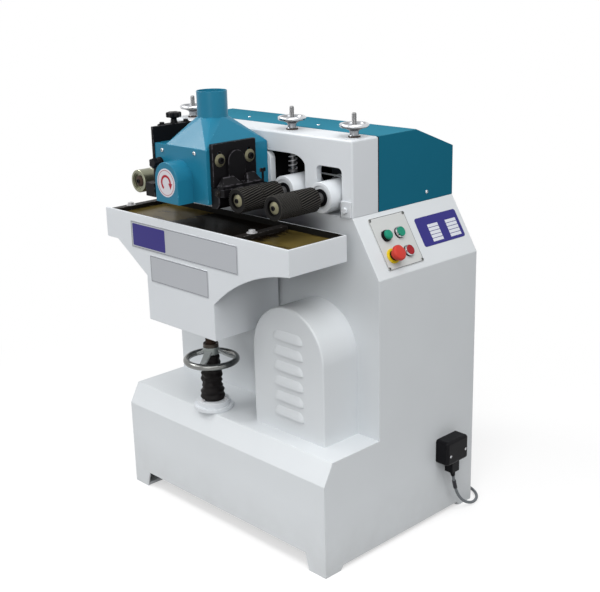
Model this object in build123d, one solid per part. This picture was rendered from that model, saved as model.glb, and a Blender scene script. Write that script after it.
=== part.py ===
from build123d import *
import math
import os

# Single-spindle line moulder. Millimetres; origin on the floor at the centre of the base,
# +X right along the front, +Y to the back, +Z up.

# Cabinet
BASE_W = 780.0
BASE_D = 576.0
SHEET = 4.0
STEP_Z = 300.0
STEP_D = 196.0
STEP_SLOPE_H = 55.0
STEP_SLOPE_D = 30.0
COLUMN_Z = 852.0
CONSOLE_W = 84.0
CONSOLE_H = 140.0
FOOT_W = 57.0
FOOT_SLANT = 13.0
KICK_H = 45.0
SIDE_KICK_H = 12.0
SIDE_FOOT_L = 50.0
FOOT_PLATE_T = 8.0
ANCHOR_R = 7.0
ANCHOR_INSET = 28.0
REAR_DOOR_W = 600.0
REAR_DOOR_H = 600.0
REAR_DOOR_Z = 120.0
REAR_PANEL_T = 2.0
REAR_PANEL_LAP = 20.0
SHELF_T = 8.0

# Bridge casting
BRIDGE_H = 186.0
BRIDGE_D = 92.0
BRIDGE_WALL = 18.0
BRIDGE_EDGE_R = 6.0
ARCH_TOP_DROP = 51.0
ARCH_CORNER_W = 51.0
ARCH_CORNER_H = 27.0
PIER_IN = 18.0
PIER_OUT = 23.0
WINDOW_W = 84.0
WINDOW_H = 116.0
WINDOW_R = 12.0
LUG_W = 36.0
LUG_H = 40.0
LUG_T = 5.0
LUG_INSET = 3.0
LUG_BOLT_Z = 17.0

# Rear cover
COVER_T = 2.0
COVER_FLAT_D = 141.0
COVER_DROP = 58.0

# Spindle, cutter and headstock
SPINDLE_RISE = 78.0
SPINDLE_R = 20.0
SPINDLE_NOSE = 31.0
SPINDLE_NUT_R = 24.0
SPINDLE_NUT_L = 20.0
CUTTER_R = 52.0
CUTTER_L = 138.0
CUTTER_BACK = 46.0
KNIFE_TIP_R = 60.0
KNIFE_COUNT = 4
KNIFE_T = 8.0
KNIFE_DEPTH = 20.0
HEAD_SIDE = 8.0
HEAD_H = 132.0
HEAD_D = 204.0
HEAD_CORNER_R = 60.0
BEARING_R = 40.0
BEARING_L = 20.0
BEARING_INSET = 10.0
HEAD_BORE_R = 30.0

# Belt drive
SPINDLE_PULLEY_R = 32.0
MOTOR_PULLEY_R = 70.0
PULLEY_FLANGE = 4.0
PULLEY_GAP_Y = 20.0
BELT_W = 12.0
BELT_T = 8.0
BELT_PITCH = 20.0
BELT_COUNT = 2

# Main motor and its cover
MOTOR_IN = 198.0
MOTOR_RISE = 207.0
MOTOR_R = 95.0
MOTOR_FRONT = 104.0
MOTOR_BACK = 202.0
MOTOR_SHAFT_R = 14.0
MOTOR_SHAFT_IN = 60.0
MOTOR_FOOT_W = 170.0
MOTOR_FOOT_L = 130.0
MOTOR_FOOT_BACK = 22.0
MOTOR_FOOT_DROP = 127.0
MOTOR_BOX = 70.0
MOTOR_BOX_H = 34.0
MOTOR_COVER_R = 126.0
MOTOR_COVER_D = 120.0
MOTOR_COVER_T = 2.0
MOTOR_COVER_EDGE = 5.0
LOUVRE_COUNT = 6
LOUVRE_W = 105.0
LOUVRE_H = 24.0
LOUVRE_OUT = 6.0
LOUVRE_PITCH = 40.4
LOUVRE_FIRST_Z = 58.0
LOUVRE_SHIFT_X = 3.5

# Chip hood, its outlet and the spindle end cover
HOOD_T = 2.0
HOOD_D = 200.0
HOOD_BACK_GAP = 2.0
HOOD_BOTTOM_DROP = 52.0
HOOD_H = 134.0
HOOD_LEDGE = 46.0
HOOD_CONE_H = 66.0
OUTLET_R = 38.5
OUTLET_H = 63.0
OUTLET_SHIFT_X = 12.5
OUTLET_SINK = 6.0
CONE_FOLDS = 6
CONE_TOP_IN = 0.5
END_HALF_W = 45.0
END_D = 48.0
END_BOTTOM_DROP = 53.0
END_CENTRE_RISE = 4.0
SHAFT_ROOM = 10.0

# Infeed shoe plate and shoe
IN_PLATE_T = 12.0
IN_PLATE_Y0 = 192.0
IN_PLATE_W = 140.0
IN_PLATE_TOP = 96.0
IN_PLATE_BOTTOM = 10.0
IN_BOLT_EDGE = 22.0
IN_BOLT_RISE = 55.0
IN_BOLT_R = 6.0
IN_WASHER_R = 16.0
IN_WASHER_T = 3.0
IN_HEAD_R = 10.0
IN_HEAD_H = 6.0
IN_SLOT_UP = 14.0
IN_SLOT_DOWN = 3.0
IN_SLOT_ROOM = 0.5
IN_BOSS_W = 54.0
IN_BOSS_T = 8.0
IN_BOSS_H = 86.0
IN_SHELF_OUT = 38.0
IN_SHELF_T = 20.0
IN_SHOE_OUT = 30.0
IN_SHOE_BOTTOM = 62.0
IN_SHOE_LEAD_R = 18.0

# Outfeed plate, shoe and star knob
OUT_PLATE_T = 8.0
OUT_PLATE_Y0 = 205.0
OUT_PLATE_W = 147.0
OUT_PLATE_TOP = 122.0
OUT_PLATE_BOTTOM = 20.0
OUT_CAP_W = 28.0
OUT_CAP_T = 12.0
OUT_CARRIAGE_T = 12.0
OUT_CARRIAGE_W = 88.0
OUT_SLIDE_RISE = 88.0
OUT_SHOE_OUT = 38.0
OUT_SHOE_H = 36.0
OUT_SHOE_BOTTOM = 60.0
KNOB_R = 20.0
KNOB_H = 14.0
KNOB_LOBES = 6
KNOB_LOBE_R = 5.0
KNOB_NECK_R = 9.0
KNOB_NECK_H = 14.0
KNOB_SCREW_R = 3.5
KNOB_SHIFT_Y = 6.0
KNOB_SCREW_L = 66.0

# Feed rollers, swing arms and drive shafts
PIVOT_IN_EDGE = 142.0
PIVOT_OUT_EDGE = 158.0
IN_ROLLER_GAP = 4.8
OUT_ROLLER_GAP = 30.7
ROLLER_RISE = 45.0
ARM_REACH = 64.0
PRESS_REACH = 107.0
ROLLER_R = 30.0
ROLLER_L = 128.0
ROLLER_NOSE = 184.0
ROLLER_GROOVE = 2.0
ROLLER_GROOVE_DEPTH = 1.2
ROLLER_RECESS_R = 16.0
ROLLER_RECESS_D = 5.0
ROLLER_CORE_R = 14.0
ROLLER_NECK_R = 20.0
ROLLER_TAIL_R = 12.0
END_WASHER_R = 13.5
END_WASHER_T = 3.0
END_BOLT_R = 8.0
END_BOLT_H = 3.0
END_SOCKET_R = 4.0
HOUSING_R = 38.0
HOUSING_FRONT = 30.0
HOUSING_BACK = 78.0
HOUSING_LIP_R = 30.0
HOUSING_LIP_D = 3.0
ARM_WEB_T = 22.0
ARM_WEB_H = 32.0
ARM_GAP = 1.0
ARM_BOSS_R = 22.0
EAR_RISE = 25.0
EAR_R = 15.0
EAR_T = 26.0
DRIVE_R = 12.5
DRIVE_IN_WALL = 12.0
PIVOT_BOSS_R = 24.0
PIVOT_BOSS_L = 10.0
SPROCKET_R = 26.0
SPROCKET_T = 7.0
SPROCKET_STEP = 12.0
CHAIN_T = 4.0
CHAIN_W = 6.0
FEED_SPROCKET_R = 30.0
FEED_CHAIN_Y = 204.0
PILLOW_Y = 182.0
PILLOW_L = 18.0
PILLOW_HALF_W = 30.0
GEARBOX_HALF_W = 58.0
GEARBOX_H = 104.0
GEARBOX_BACK = 176.0
GEARBOX_L = 80.0
FEED_MOTOR_R = 46.0
FEED_MOTOR_GAP = 16.0

# Pressure rods, springs and handwheels
PRESS_Y = 46.0
ROD_R = 6.0
ROD_TOP = 58.0
ROD_FOOT_R = 8.0
ROD_COLLAR_R = 13.0
ROD_COLLAR_T = 6.0
ROD_COLLAR_RISE = 15.0
SPRING_WIRE_R = 1.7
SPRING_R = 10.2
SPRING_TURNS = 7
WHEEL_R = 36.0
WHEEL_RIM_R = 4.5
WHEEL_RIM_RISE = 24.0
WHEEL_HUB_R = 13.0
WHEEL_HUB_H = 20.0
WHEEL_WASHER_R = 16.0
WHEEL_WASHER_T = 3.0
WHEEL_WEB_T = 4.0

# Table and knee
WORK_GAP = 60.0
TABLE_LEFT_OVER = 3.0
TABLE_RIGHT_OVER = 17.0
TABLE_REACH = 228.0
TABLE_BACK_GAP = 38.0
TABLE_T = 12.0
PLATE_T = 6.0
RIM_H = 15.0
SKIRT_LEFT_H = 80.0
SKIRT_RIGHT_H = 65.0
WING_FLAT = 48.0
WING_DROP = 80.0
KNEE_COVER_GAP = 17.0
KNEE_BOTTOM_DROP = 266.0
KNEE_SHOULDER_DROP = 171.0
ARC_RISE = 27.0
KNEE_BACK_GAP = 10.0
CROSS_T = 12.0
CROSS_RISE = 60.0
BACK_PLATE_GAP = 58.0
WAY_DEPTH = 24.0
WAY_BASE_W = 100.0
WAY_FACE_W = 128.0
WAY_BOTTOM_Z = 500.0
WAY_TOP_GAP = 60.0
SADDLE_HALF_W = 100.0
SADDLE_RISE = 24.0
SADDLE_H = 180.0
CLAMP_BAR_W = 24.0
CLAMP_BAR_T = 11.0
CLAMP_BAR_LEFT = 18.0
CLAMP_BAR_RIGHT = 201.0
CLAMP_BOLT_Y = 70.0
CLAMP_BOLT_R = 5.0

# Lift
LIFT_REACH = 135.0
FLANGE_R = 53.0
FLANGE_T = 10.0
COLLAR_R = 44.0
COLLAR_T = 14.0
NUT_R = 19.0
NUT_DEPTH = 50.0
SCREW_R = 14.0
SCREW_BELOW = 110.0
SCREW_ABOVE = 30.0
SCREW_COLLAR_R = 22.0
SCREW_COLLAR_T = 10.0
HUB_GAP = 58.0
HUB_R = 20.0
HUB_H = 35.0
LIFT_WHEEL_R = 67.0
LIFT_RIM_R = 8.0
LIFT_RIM_DROP = 47.0
SPOKE_R = 5.5
SPOKE_COUNT = 3
SPOKE_DROP = 18.0
BOOT_OUT_R = 28.0
BOOT_IN_R = 23.0
BOOT_BORE_R = 17.0
BOOT_RIBS = 9

# Frame bolts
HEX_R = 6.5
HEX_H = 5.5
FLANGE_BOLT_COUNT = 3
FLANGE_BOLT_R = 4.0

# Console
PANEL_Y = 17.5
PANEL_V = 84.0
PANEL_W = 131.0
PANEL_H = 136.0
PANEL_T = 2.0
PANEL_LAP = 12.0
BEZEL_R = 14.5
BEZEL_T = 9.0
CAP_R = 12.4
STEM_R = 8.0
STEM_IN = 22.0
# each push button: name, place along Y, place up the slope, how far its cap stands out of the plate
BUTTONS = (
    ("green_button_1", -11.5, 101.0, 17.0),
    ("green_button_2", 36.5, 101.0, 12.0),
    ("red_button", 42.5, 51.0, 10.0),
)
STOP_Y = -16.0
STOP_V = 49.0
STOP_R = 19.5
STOP_HEAD_H = 12.0
STOP_NECK_R = 13.0
STOP_NECK_H = 14.0
STOP_COLLAR_R = 19.0
STOP_COLLAR_T = 5.0

# Power connector and cord
PLUG_IN = 118.0
PLUG_W = 80.0
PLUG_D = 45.0
PLUG_Z0 = 163.0
PLUG_H = 67.0
PLUG_EDGE_R = 8.0
PLUG_NECK_W = 30.0
PLUG_NECK_H = 31.0
PLUG_NECK_IN = 113.0
GLAND_R = 7.5
GLAND_TIP_R = 5.5
GLAND_L = 13.5
CORD_R = 4.0
# the cord's way: out from the cabinet's right side, back from its rear, up from the floor
CORD_ROUTE = (
    (22.0, -109.9, 116.9),
    (22.0, -103.8, 90.6),
    (21.0, -92.5, 62.0),
    (21.0, -75.0, 35.5),
    (23.0, -52.0, 15.5),
    (26.0, -24.0, 5.2),
    (25.0, 5.0, 5.2),
    (14.0, 33.0, 5.2),
    (-10.0, 52.0, 5.2),
    (-45.0, 57.0, 5.2),
    (-77.0, 47.0, 5.2),
    (-108.0, 32.0, 5.2),
    (-140.0, 23.8, 5.2),
    (-175.0, 24.73, 5.2),
)
COIL_IN = 185.0
COIL_BEHIND = 83.0
COIL_Z = 5.2
COIL_R = 58.0
COIL_STEP = 9.8
COIL_LIFT = 8.7
COIL_LAYER_TURNS = 1.75
COIL_CLIMB_TURNS = 0.5
COIL_END_L = 10.0
COIL_TAIL_L = 58.0
TIE_T = 1.0
TIE_W = 12.0
TIE_GAP = 0.6
END_PLUG_L = 46.0
END_PLUG_W = 36.0
END_PLUG_NECK_L = 18.0
END_PLUG_NECK_R = 9.0
PIN_L = 18.0
PIN_W = 6.5
PIN_T = 2.0
PIN_SPREAD = 8.0

# Clearances
RUN = 0.05
FREE = 0.3
SEAT = 0.2

# Places worked out from the sizes above
LEFT_X = -BASE_W / 2
RIGHT_X = BASE_W / 2
FRONT_Y = -BASE_D / 2
BACK_Y = BASE_D / 2
COLUMN_Y = FRONT_Y + STEP_D
COLUMN_RIGHT_X = RIGHT_X - CONSOLE_W
PIVOT_IN_X = COLUMN_RIGHT_X - PIVOT_IN_EDGE
PIVOT_OUT_X = LEFT_X + PIVOT_OUT_EDGE
MOTOR_X = RIGHT_X - MOTOR_IN
BRIDGE_TOP = COLUMN_Z + BRIDGE_H
BRIDGE_BACK_Y = COLUMN_Y + BRIDGE_D
WALL_BACK_Y = COLUMN_Y + BRIDGE_WALL
HOOD_RIGHT_X = PIVOT_IN_X - ARM_REACH - ROLLER_R - IN_ROLLER_GAP - IN_SHELF_OUT - IN_PLATE_T - SEAT
HOOD_LEFT_X = PIVOT_OUT_X - ARM_REACH + ROLLER_R + OUT_ROLLER_GAP + OUT_SHOE_OUT + FREE + OUT_PLATE_T
SPINDLE_X = (HOOD_LEFT_X + HOOD_RIGHT_X) / 2
HEAD_HALF_W = HOOD_RIGHT_X - SPINDLE_X + HEAD_SIDE
SPINDLE_Z = COLUMN_Z + SPINDLE_RISE
ROLLER_Z = COLUMN_Z + ROLLER_RISE
MOTOR_Z = STEP_Z + MOTOR_RISE
SHELF_TOP = MOTOR_Z - MOTOR_FOOT_DROP
GEARBOX_Y = COLUMN_Y + GEARBOX_BACK
FEED_MOTOR_Z0 = MOTOR_Z + MOTOR_R + MOTOR_BOX_H + FEED_MOTOR_GAP
HEAD_BACK_Y = COLUMN_Y + HEAD_D
PULLEY_Y0 = HEAD_BACK_Y + PULLEY_GAP_Y
PULLEY_Y1 = PULLEY_Y0 + BELT_COUNT * BELT_PITCH + PULLEY_FLANGE
HOOD_BACK_Y = COLUMN_Y - HOOD_BACK_GAP
HOOD_FRONT_Y = HOOD_BACK_Y - HOOD_D
HOOD_Z0 = SPINDLE_Z - HOOD_BOTTOM_DROP
HOOD_Z1 = HOOD_Z0 + HOOD_H
HOOD_MID_Y = (HOOD_FRONT_Y + HOOD_BACK_Y) / 2
OUTLET_X = SPINDLE_X + OUTLET_SHIFT_X
OUTLET_Z0 = HOOD_Z1 + HOOD_CONE_H
TABLE_Z = ROLLER_Z - ROLLER_R - WORK_GAP
TABLE_RIM_Z = TABLE_Z + RIM_H
TABLE_LEFT_X = LEFT_X - TABLE_LEFT_OVER
TABLE_RIGHT_X = COLUMN_RIGHT_X + TABLE_RIGHT_OVER
TABLE_FRONT_Y = COLUMN_Y - TABLE_REACH
TABLE_BACK_Y = COLUMN_Y - TABLE_BACK_GAP
KNEE_X = SPINDLE_X
KNEE_HALF_W = MOTOR_X - MOTOR_COVER_R - KNEE_COVER_GAP - KNEE_X
KNEE_Z = TABLE_Z - KNEE_BOTTOM_DROP
CROSS_Z = KNEE_Z + CROSS_RISE
LIFT_X = KNEE_X
LIFT_Y = COLUMN_Y - LIFT_REACH
FLANGE_TOP = STEP_Z + FLANGE_T + COLLAR_T
HUB_TOP = KNEE_Z - HUB_GAP
HUB_Z = HUB_TOP - HUB_H
ROD_Y = COLUMN_Y + PRESS_Y
EAR_TOP = ROLLER_Z + EAR_RISE
PLUG_Y = BACK_Y - PLUG_IN
PLUG_NECK_Y = BACK_Y - PLUG_NECK_IN
COIL_X = RIGHT_X - COIL_IN
COIL_Y = BACK_Y + COIL_BEHIND
CONSOLE = Plane((RIGHT_X, 0, COLUMN_Z - CONSOLE_H), x_dir=(0, 1, 0), z_dir=(CONSOLE_H, 0, CONSOLE_W))
# each roller station: name, pivot X, side of the pivot the roller hangs on, row of its chain
STATIONS = (
    ("infeed_1", PIVOT_IN_X, -1, 0),
    ("infeed_2", PIVOT_IN_X, 1, 1),
    ("outfeed", PIVOT_OUT_X, -1, 0),
)


def block(x0, x1, y0, y1, z0, z1):
    """Box between two corners."""
    return Pos((x0 + x1) / 2, (y0 + y1) / 2, (z0 + z1) / 2) * Box(x1 - x0, y1 - y0, z1 - z0)


def bar_y(radius, x, z, y0, y1):
    """Cylinder along Y."""
    return Pos(x, (y0 + y1) / 2, z) * Rot(90, 0, 0) * Cylinder(radius, y1 - y0)


def bar_z(radius, x, y, z0, z1):
    """Cylinder along Z."""
    return Pos(x, y, (z0 + z1) / 2) * Cylinder(radius, z1 - z0)


def bar_x(radius, y, z, x0, x1):
    """Cylinder along X."""
    return Pos((x0 + x1) / 2, y, z) * Rot(0, 90, 0) * Cylinder(radius, x1 - x0)


def along_x(face, x0, x1):
    """Solid of a face drawn in Y and Z, from x0 to x1."""
    return extrude(Plane.YZ.offset(x0) * face, x1 - x0, dir=(1, 0, 0))


def along_y(face, y0, y1):
    """Solid of a face drawn in X and Z, from y0 to y1."""
    return extrude(Plane.XZ.offset(-y0) * face, y1 - y0, dir=(0, 1, 0))


def loop_y(places, inner, thick, y0, y1):
    """Belt or chain: a flat band round two or more wheels whose axes run along Y."""
    outer_rings = [Pos(x, z) * Circle(r + inner + thick) for x, z, r in places]
    inner_rings = [Pos(x, z) * Circle(r + inner) for x, z, r in places]
    outer = make_hull([ring.edge() for ring in outer_rings])
    hole = make_hull([ring.edge() for ring in inner_rings])
    return along_y(outer, y0, y1) - along_y(hole, y0, y1)


def on_console(u, v, w):
    """Place on the sloped panel: u along Y, v up the slope, w out of it."""
    return CONSOLE * Pos(u, v, w)


def arch_face(x, half_w, z0, z1):
    """Upright rectangle with a half-round top that springs at z1."""
    return Pos(x, z1) * Circle(half_w) + Pos(x, (z0 + z1) / 2) * Rectangle(2 * half_w, z1 - z0)


def cabinet_block(inset):
    """Step-and-column body with the console slope, shrunk all round by inset."""
    outline = Polygon(
        (FRONT_Y, 0),
        (FRONT_Y, STEP_Z - STEP_SLOPE_H),
        (FRONT_Y + STEP_SLOPE_D, STEP_Z),
        (COLUMN_Y, STEP_Z),
        (COLUMN_Y, COLUMN_Z),
        (BACK_Y, COLUMN_Z),
        (BACK_Y, 0),
    )
    face = offset(outline, -inset, kind=Kind.INTERSECTION) if inset else outline
    body = along_x(face, LEFT_X + inset, RIGHT_X - inset)
    beyond = CONSOLE * Pos(0, 0, CONSOLE_H - inset) * Box(2 * BASE_D, 4 * CONSOLE_H, 2 * CONSOLE_H)
    return body - beyond


def way_face(room):
    """Dovetail section in X and Y, grown by room on its sliding faces."""
    half_base = WAY_BASE_W / 2 + room
    half_face = WAY_FACE_W / 2 + room
    front = COLUMN_Y - WAY_DEPTH - room
    return Polygon(
        (KNEE_X - half_base, COLUMN_Y),
        (KNEE_X + half_base, COLUMN_Y),
        (KNEE_X + half_face, front),
        (KNEE_X - half_face, front),
    )


def belt_share():
    """How far down the belt, from spindle to motor, the column top lies."""
    return (SPINDLE_Z - COLUMN_Z) / (SPINDLE_Z - MOTOR_Z)


def cabinet():
    """Welded sheet cabinet with feet, motor shelf and the table's slideway."""
    body = cabinet_block(0) - cabinet_block(SHEET)
    inner_x = RIGHT_X - SHEET
    inner_y = BACK_Y - SHEET
    body -= block(-inner_x, inner_x, -inner_y, inner_y, -SHEET, 2 * SHEET)
    kick = Polygon(
        (LEFT_X + FOOT_W, -SHEET),
        (RIGHT_X - FOOT_W, -SHEET),
        (RIGHT_X - FOOT_W - FOOT_SLANT, KICK_H),
        (LEFT_X + FOOT_W + FOOT_SLANT, KICK_H),
    )
    body -= along_y(kick, FRONT_Y - SHEET, BACK_Y + SHEET)
    side_kick = Polygon(
        (FRONT_Y + SIDE_FOOT_L, -SHEET),
        (BACK_Y - SIDE_FOOT_L, -SHEET),
        (BACK_Y - SIDE_FOOT_L - FOOT_SLANT, SIDE_KICK_H),
        (FRONT_Y + SIDE_FOOT_L + FOOT_SLANT, SIDE_KICK_H),
    )
    body -= along_x(side_kick, LEFT_X - SHEET, RIGHT_X + SHEET)
    plate = FOOT_W - SHEET
    for sx in (-1, 1):
        for sy in (-1, 1):
            corner = Pos(sx * (inner_x - plate / 2), sy * (inner_y - plate / 2), FOOT_PLATE_T / 2)
            body += corner * Box(plate, plate, FOOT_PLATE_T)
            hole_x = sx * (inner_x - ANCHOR_INSET)
            hole_y = sy * (inner_y - ANCHOR_INSET)
            body -= bar_z(ANCHOR_R, hole_x, hole_y, -SHEET, FOOT_PLATE_T + SHEET)
    shelf_left = MOTOR_X - MOTOR_FOOT_W / 2 - SHELF_T
    body += block(shelf_left, inner_x, COLUMN_Y + SHEET, inner_y, SHELF_TOP - SHELF_T, SHELF_TOP)
    body += Plane.XY.offset(WAY_BOTTOM_Z) * extrude(way_face(0), COLUMN_Z - WAY_TOP_GAP - WAY_BOTTOM_Z, dir=(0, 0, 1))
    door_half = REAR_DOOR_W / 2
    body -= block(-door_half, door_half, inner_y - SHEET, BACK_Y + SHEET, REAR_DOOR_Z, REAR_DOOR_Z + REAR_DOOR_H)
    body -= bar_y(MOTOR_R + 2 * SHEET, MOTOR_X, MOTOR_Z, COLUMN_Y - SHEET, COLUMN_Y + 2 * SHEET)
    body -= bar_z(NUT_R + SHEET / 2, LIFT_X, LIFT_Y, STEP_Z - 2 * SHEET, STEP_Z + SHEET)
    slot_x = SPINDLE_X + (MOTOR_X - SPINDLE_X) * belt_share()
    slot_half = MOTOR_PULLEY_R + BELT_T
    slot_z0 = COLUMN_Z - 2 * SHEET
    slot_z1 = COLUMN_Z + SHEET
    body -= block(slot_x - slot_half, slot_x + slot_half, PULLEY_Y0 - SHEET, PULLEY_Y1 + SHEET, slot_z0, slot_z1)
    body -= bar_z(FEED_MOTOR_R + SHEET, PIVOT_IN_X, GEARBOX_Y, slot_z0, slot_z1)
    window = Box(PANEL_W - 2 * PANEL_LAP, PANEL_H - 2 * PANEL_LAP, 4 * SHEET)
    return body - on_console(PANEL_Y, PANEL_V, 0) * window


def rear_panel():
    """Screwed access panel over the rear opening."""
    half = REAR_DOOR_W / 2 + REAR_PANEL_LAP
    z0 = REAR_DOOR_Z - REAR_PANEL_LAP
    z1 = REAR_DOOR_Z + REAR_DOOR_H + REAR_PANEL_LAP
    return block(-half, half, BACK_Y, BACK_Y + REAR_PANEL_T, z0, z1)


def motor_cover():
    """Half-round topped sheet cover with pressed louvres on its front."""
    front = COLUMN_Y - MOTOR_COVER_D
    body = along_y(arch_face(MOTOR_X, MOTOR_COVER_R, STEP_Z, MOTOR_Z), front, COLUMN_Y)
    rim = [edge for edge in body.edges() if edge.bounding_box().max.Y < front + MOTOR_COVER_T]
    rim = [edge for edge in rim if edge.bounding_box().max.Z > STEP_Z + MOTOR_COVER_T]
    body = fillet(rim, MOTOR_COVER_EDGE)
    inner = arch_face(MOTOR_X, MOTOR_COVER_R - MOTOR_COVER_T, STEP_Z - MOTOR_COVER_T, MOTOR_Z)
    body -= along_y(inner, front + MOTOR_COVER_T, COLUMN_Y + MOTOR_COVER_T)
    x0 = MOTOR_X + LOUVRE_SHIFT_X - LOUVRE_W / 2
    for row in range(LOUVRE_COUNT):
        z0 = STEP_Z + LOUVRE_FIRST_Z + row * LOUVRE_PITCH
        lip = z0 + LOUVRE_OUT / 2
        wall = front + MOTOR_COVER_T / 2
        hood = Polygon((wall, z0), (front - LOUVRE_OUT, z0), (front - LOUVRE_OUT, lip), (wall, z0 + LOUVRE_H))
        body += along_x(hood, x0, x0 + LOUVRE_W)
        skin = MOTOR_COVER_T
        deep = front + 2 * MOTOR_COVER_T
        low = z0 - MOTOR_COVER_T / 2
        nose = front - LOUVRE_OUT + skin
        throat = Polygon((deep, low), (nose, low), (nose, lip), (deep, z0 + LOUVRE_H - 2 * skin))
        body -= along_x(throat, x0 + skin, x0 + LOUVRE_W - skin)
    return body


def window_left(pivot, side):
    """Left edge of a roller window beside a pivot."""
    return pivot + PIER_OUT if side > 0 else pivot - PIER_OUT - WINDOW_W


def bridge():
    """Hollow bridge casting with the arch, two roller windows and pivot bosses."""
    body = block(LEFT_X, COLUMN_RIGHT_X, COLUMN_Y, BRIDGE_BACK_Y, COLUMN_Z, BRIDGE_TOP)
    edges = body.edges().filter_by(Axis.Z).group_by(Axis.Y)[0] + body.edges().group_by(Axis.Z)[-1]
    body = fillet(edges, BRIDGE_EDGE_R)
    inner_left = LEFT_X + BRIDGE_WALL
    inner_right = COLUMN_RIGHT_X - BRIDGE_WALL
    under = COLUMN_Z - BRIDGE_WALL
    body -= block(inner_left, inner_right, WALL_BACK_Y, BRIDGE_BACK_Y + BRIDGE_WALL, under, BRIDGE_TOP - BRIDGE_WALL)
    for sx in (0, 1):
        lug_x = LEFT_X + LUG_INSET if sx == 0 else COLUMN_RIGHT_X - LUG_INSET - LUG_W
        body += block(lug_x, lug_x + LUG_W, COLUMN_Y - LUG_T, COLUMN_Y, COLUMN_Z, COLUMN_Z + LUG_H)
    arch_left = PIVOT_OUT_X + PIER_IN
    arch_right = PIVOT_IN_X - PIER_IN
    arch_top = BRIDGE_TOP - ARCH_TOP_DROP
    shoulder = arch_top - ARCH_CORNER_H
    arch_mid = (arch_left + arch_right) / 2
    arch_w = arch_right - arch_left
    arch = Pos(arch_mid, (under + shoulder) / 2) * Rectangle(arch_w, shoulder - under)
    flat_w = arch_w - 2 * ARCH_CORNER_W
    arch += Pos(arch_mid, (under + arch_top) / 2) * Rectangle(flat_w, arch_top - under)
    for sx in (-1, 1):
        arch += Pos(arch_mid + sx * flat_w / 2, shoulder) * Ellipse(ARCH_CORNER_W, ARCH_CORNER_H)
    body -= along_y(arch, COLUMN_Y - 2 * LUG_T, WALL_BACK_Y + LUG_T)
    window_top = COLUMN_Z + WINDOW_H
    for pivot, side in ((PIVOT_IN_X, 1), (PIVOT_OUT_X, -1)):
        left = window_left(pivot, side)
        opening = RectangleRounded(WINDOW_W, window_top - under, WINDOW_R)
        opening = Pos(left + WINDOW_W / 2, (window_top + under) / 2) * opening
        body -= along_y(opening, COLUMN_Y - 2 * LUG_T, WALL_BACK_Y + LUG_T)
        body += bar_y(PIVOT_BOSS_R, pivot, ROLLER_Z, WALL_BACK_Y - BRIDGE_WALL / 2, WALL_BACK_Y + PIVOT_BOSS_L)
        body -= bar_y(DRIVE_R + RUN, pivot, ROLLER_Z, WALL_BACK_Y - DRIVE_IN_WALL, WALL_BACK_Y + 2 * PIVOT_BOSS_L)
    for _, pivot, side, _ in STATIONS:
        body -= bar_z(ROD_R + RUN, press_x(pivot, side), ROD_Y, BRIDGE_TOP - 2 * BRIDGE_WALL, BRIDGE_TOP + ROD_R)
    return body


def rear_cover():
    """Sheet cover over the drives, with a flat then sloping roof."""
    y0 = BRIDGE_BACK_Y
    outline = Polygon(
        (y0, COLUMN_Z),
        (y0, BRIDGE_TOP),
        (y0 + COVER_FLAT_D, BRIDGE_TOP),
        (BACK_Y, BRIDGE_TOP - COVER_DROP),
        (BACK_Y, COLUMN_Z),
    )
    inner_left = LEFT_X + COVER_T
    inner_right = COLUMN_RIGHT_X - COVER_T
    hollow = along_x(offset(outline, -COVER_T, kind=Kind.INTERSECTION), inner_left, inner_right)
    hollow += block(inner_left, inner_right, y0 - COVER_T, y0 + 2 * COVER_T, COLUMN_Z - COVER_T, BRIDGE_TOP - COVER_T)
    hollow += block(inner_left, inner_right, y0 - COVER_T, BACK_Y - COVER_T, COLUMN_Z - COVER_T, COLUMN_Z + 2 * COVER_T)
    return along_x(outline, LEFT_X, COLUMN_RIGHT_X) - hollow


def headstock():
    """Spindle housing casting with two bearing seats."""
    body = block(SPINDLE_X - HEAD_HALF_W, SPINDLE_X + HEAD_HALF_W, COLUMN_Y, HEAD_BACK_Y, COLUMN_Z, COLUMN_Z + HEAD_H)
    top = body.edges().filter_by(Axis.Y).group_by(Axis.Z)[-1]
    body = fillet(top, HEAD_CORNER_R)
    body -= bar_y(HEAD_BORE_R, SPINDLE_X, SPINDLE_Z, COLUMN_Y - SHEET, HEAD_BACK_Y + SHEET)
    for y0 in bearing_places():
        body -= bar_y(BEARING_R + RUN, SPINDLE_X, SPINDLE_Z, y0, y0 + BEARING_L)
    return body - bar_y(BEARING_R + RUN, SPINDLE_X, SPINDLE_Z, COLUMN_Y - SHEET, COLUMN_Y + BEARING_INSET) \
        - bar_y(BEARING_R + RUN, SPINDLE_X, SPINDLE_Z, HEAD_BACK_Y - BEARING_INSET, HEAD_BACK_Y + SHEET)


def bearing_places():
    """Front faces of the two spindle bearings."""
    return (COLUMN_Y + BEARING_INSET, HEAD_BACK_Y - BEARING_INSET - BEARING_L)


def spindle_bearings():
    """Two ball bearings, as plain rings."""
    rings = []
    for y0 in bearing_places():
        ring = bar_y(BEARING_R, SPINDLE_X, SPINDLE_Z, y0, y0 + BEARING_L)
        rings.append(ring - bar_y(SPINDLE_R + RUN, SPINDLE_X, SPINDLE_Z, y0, y0 + BEARING_L))
    return Compound(children=rings)


def pulley(x, z, radius):
    """Grooved pulley, the grooves as deep as the belts."""
    body = bar_y(radius + BELT_T, x, z, PULLEY_Y0, PULLEY_Y1)
    for y0, y1 in belt_rows():
        groove = bar_y(radius + 2 * BELT_T, x, z, y0 - FREE, y1 + FREE)
        body -= groove - bar_y(radius, x, z, y0 - FREE, y1 + FREE)
    return body


def belt_rows():
    """Front and back of each belt."""
    first = PULLEY_Y0 + PULLEY_FLANGE + (BELT_PITCH - PULLEY_FLANGE - BELT_W) / 2
    return [(first + row * BELT_PITCH, first + row * BELT_PITCH + BELT_W) for row in range(BELT_COUNT)]


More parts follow.
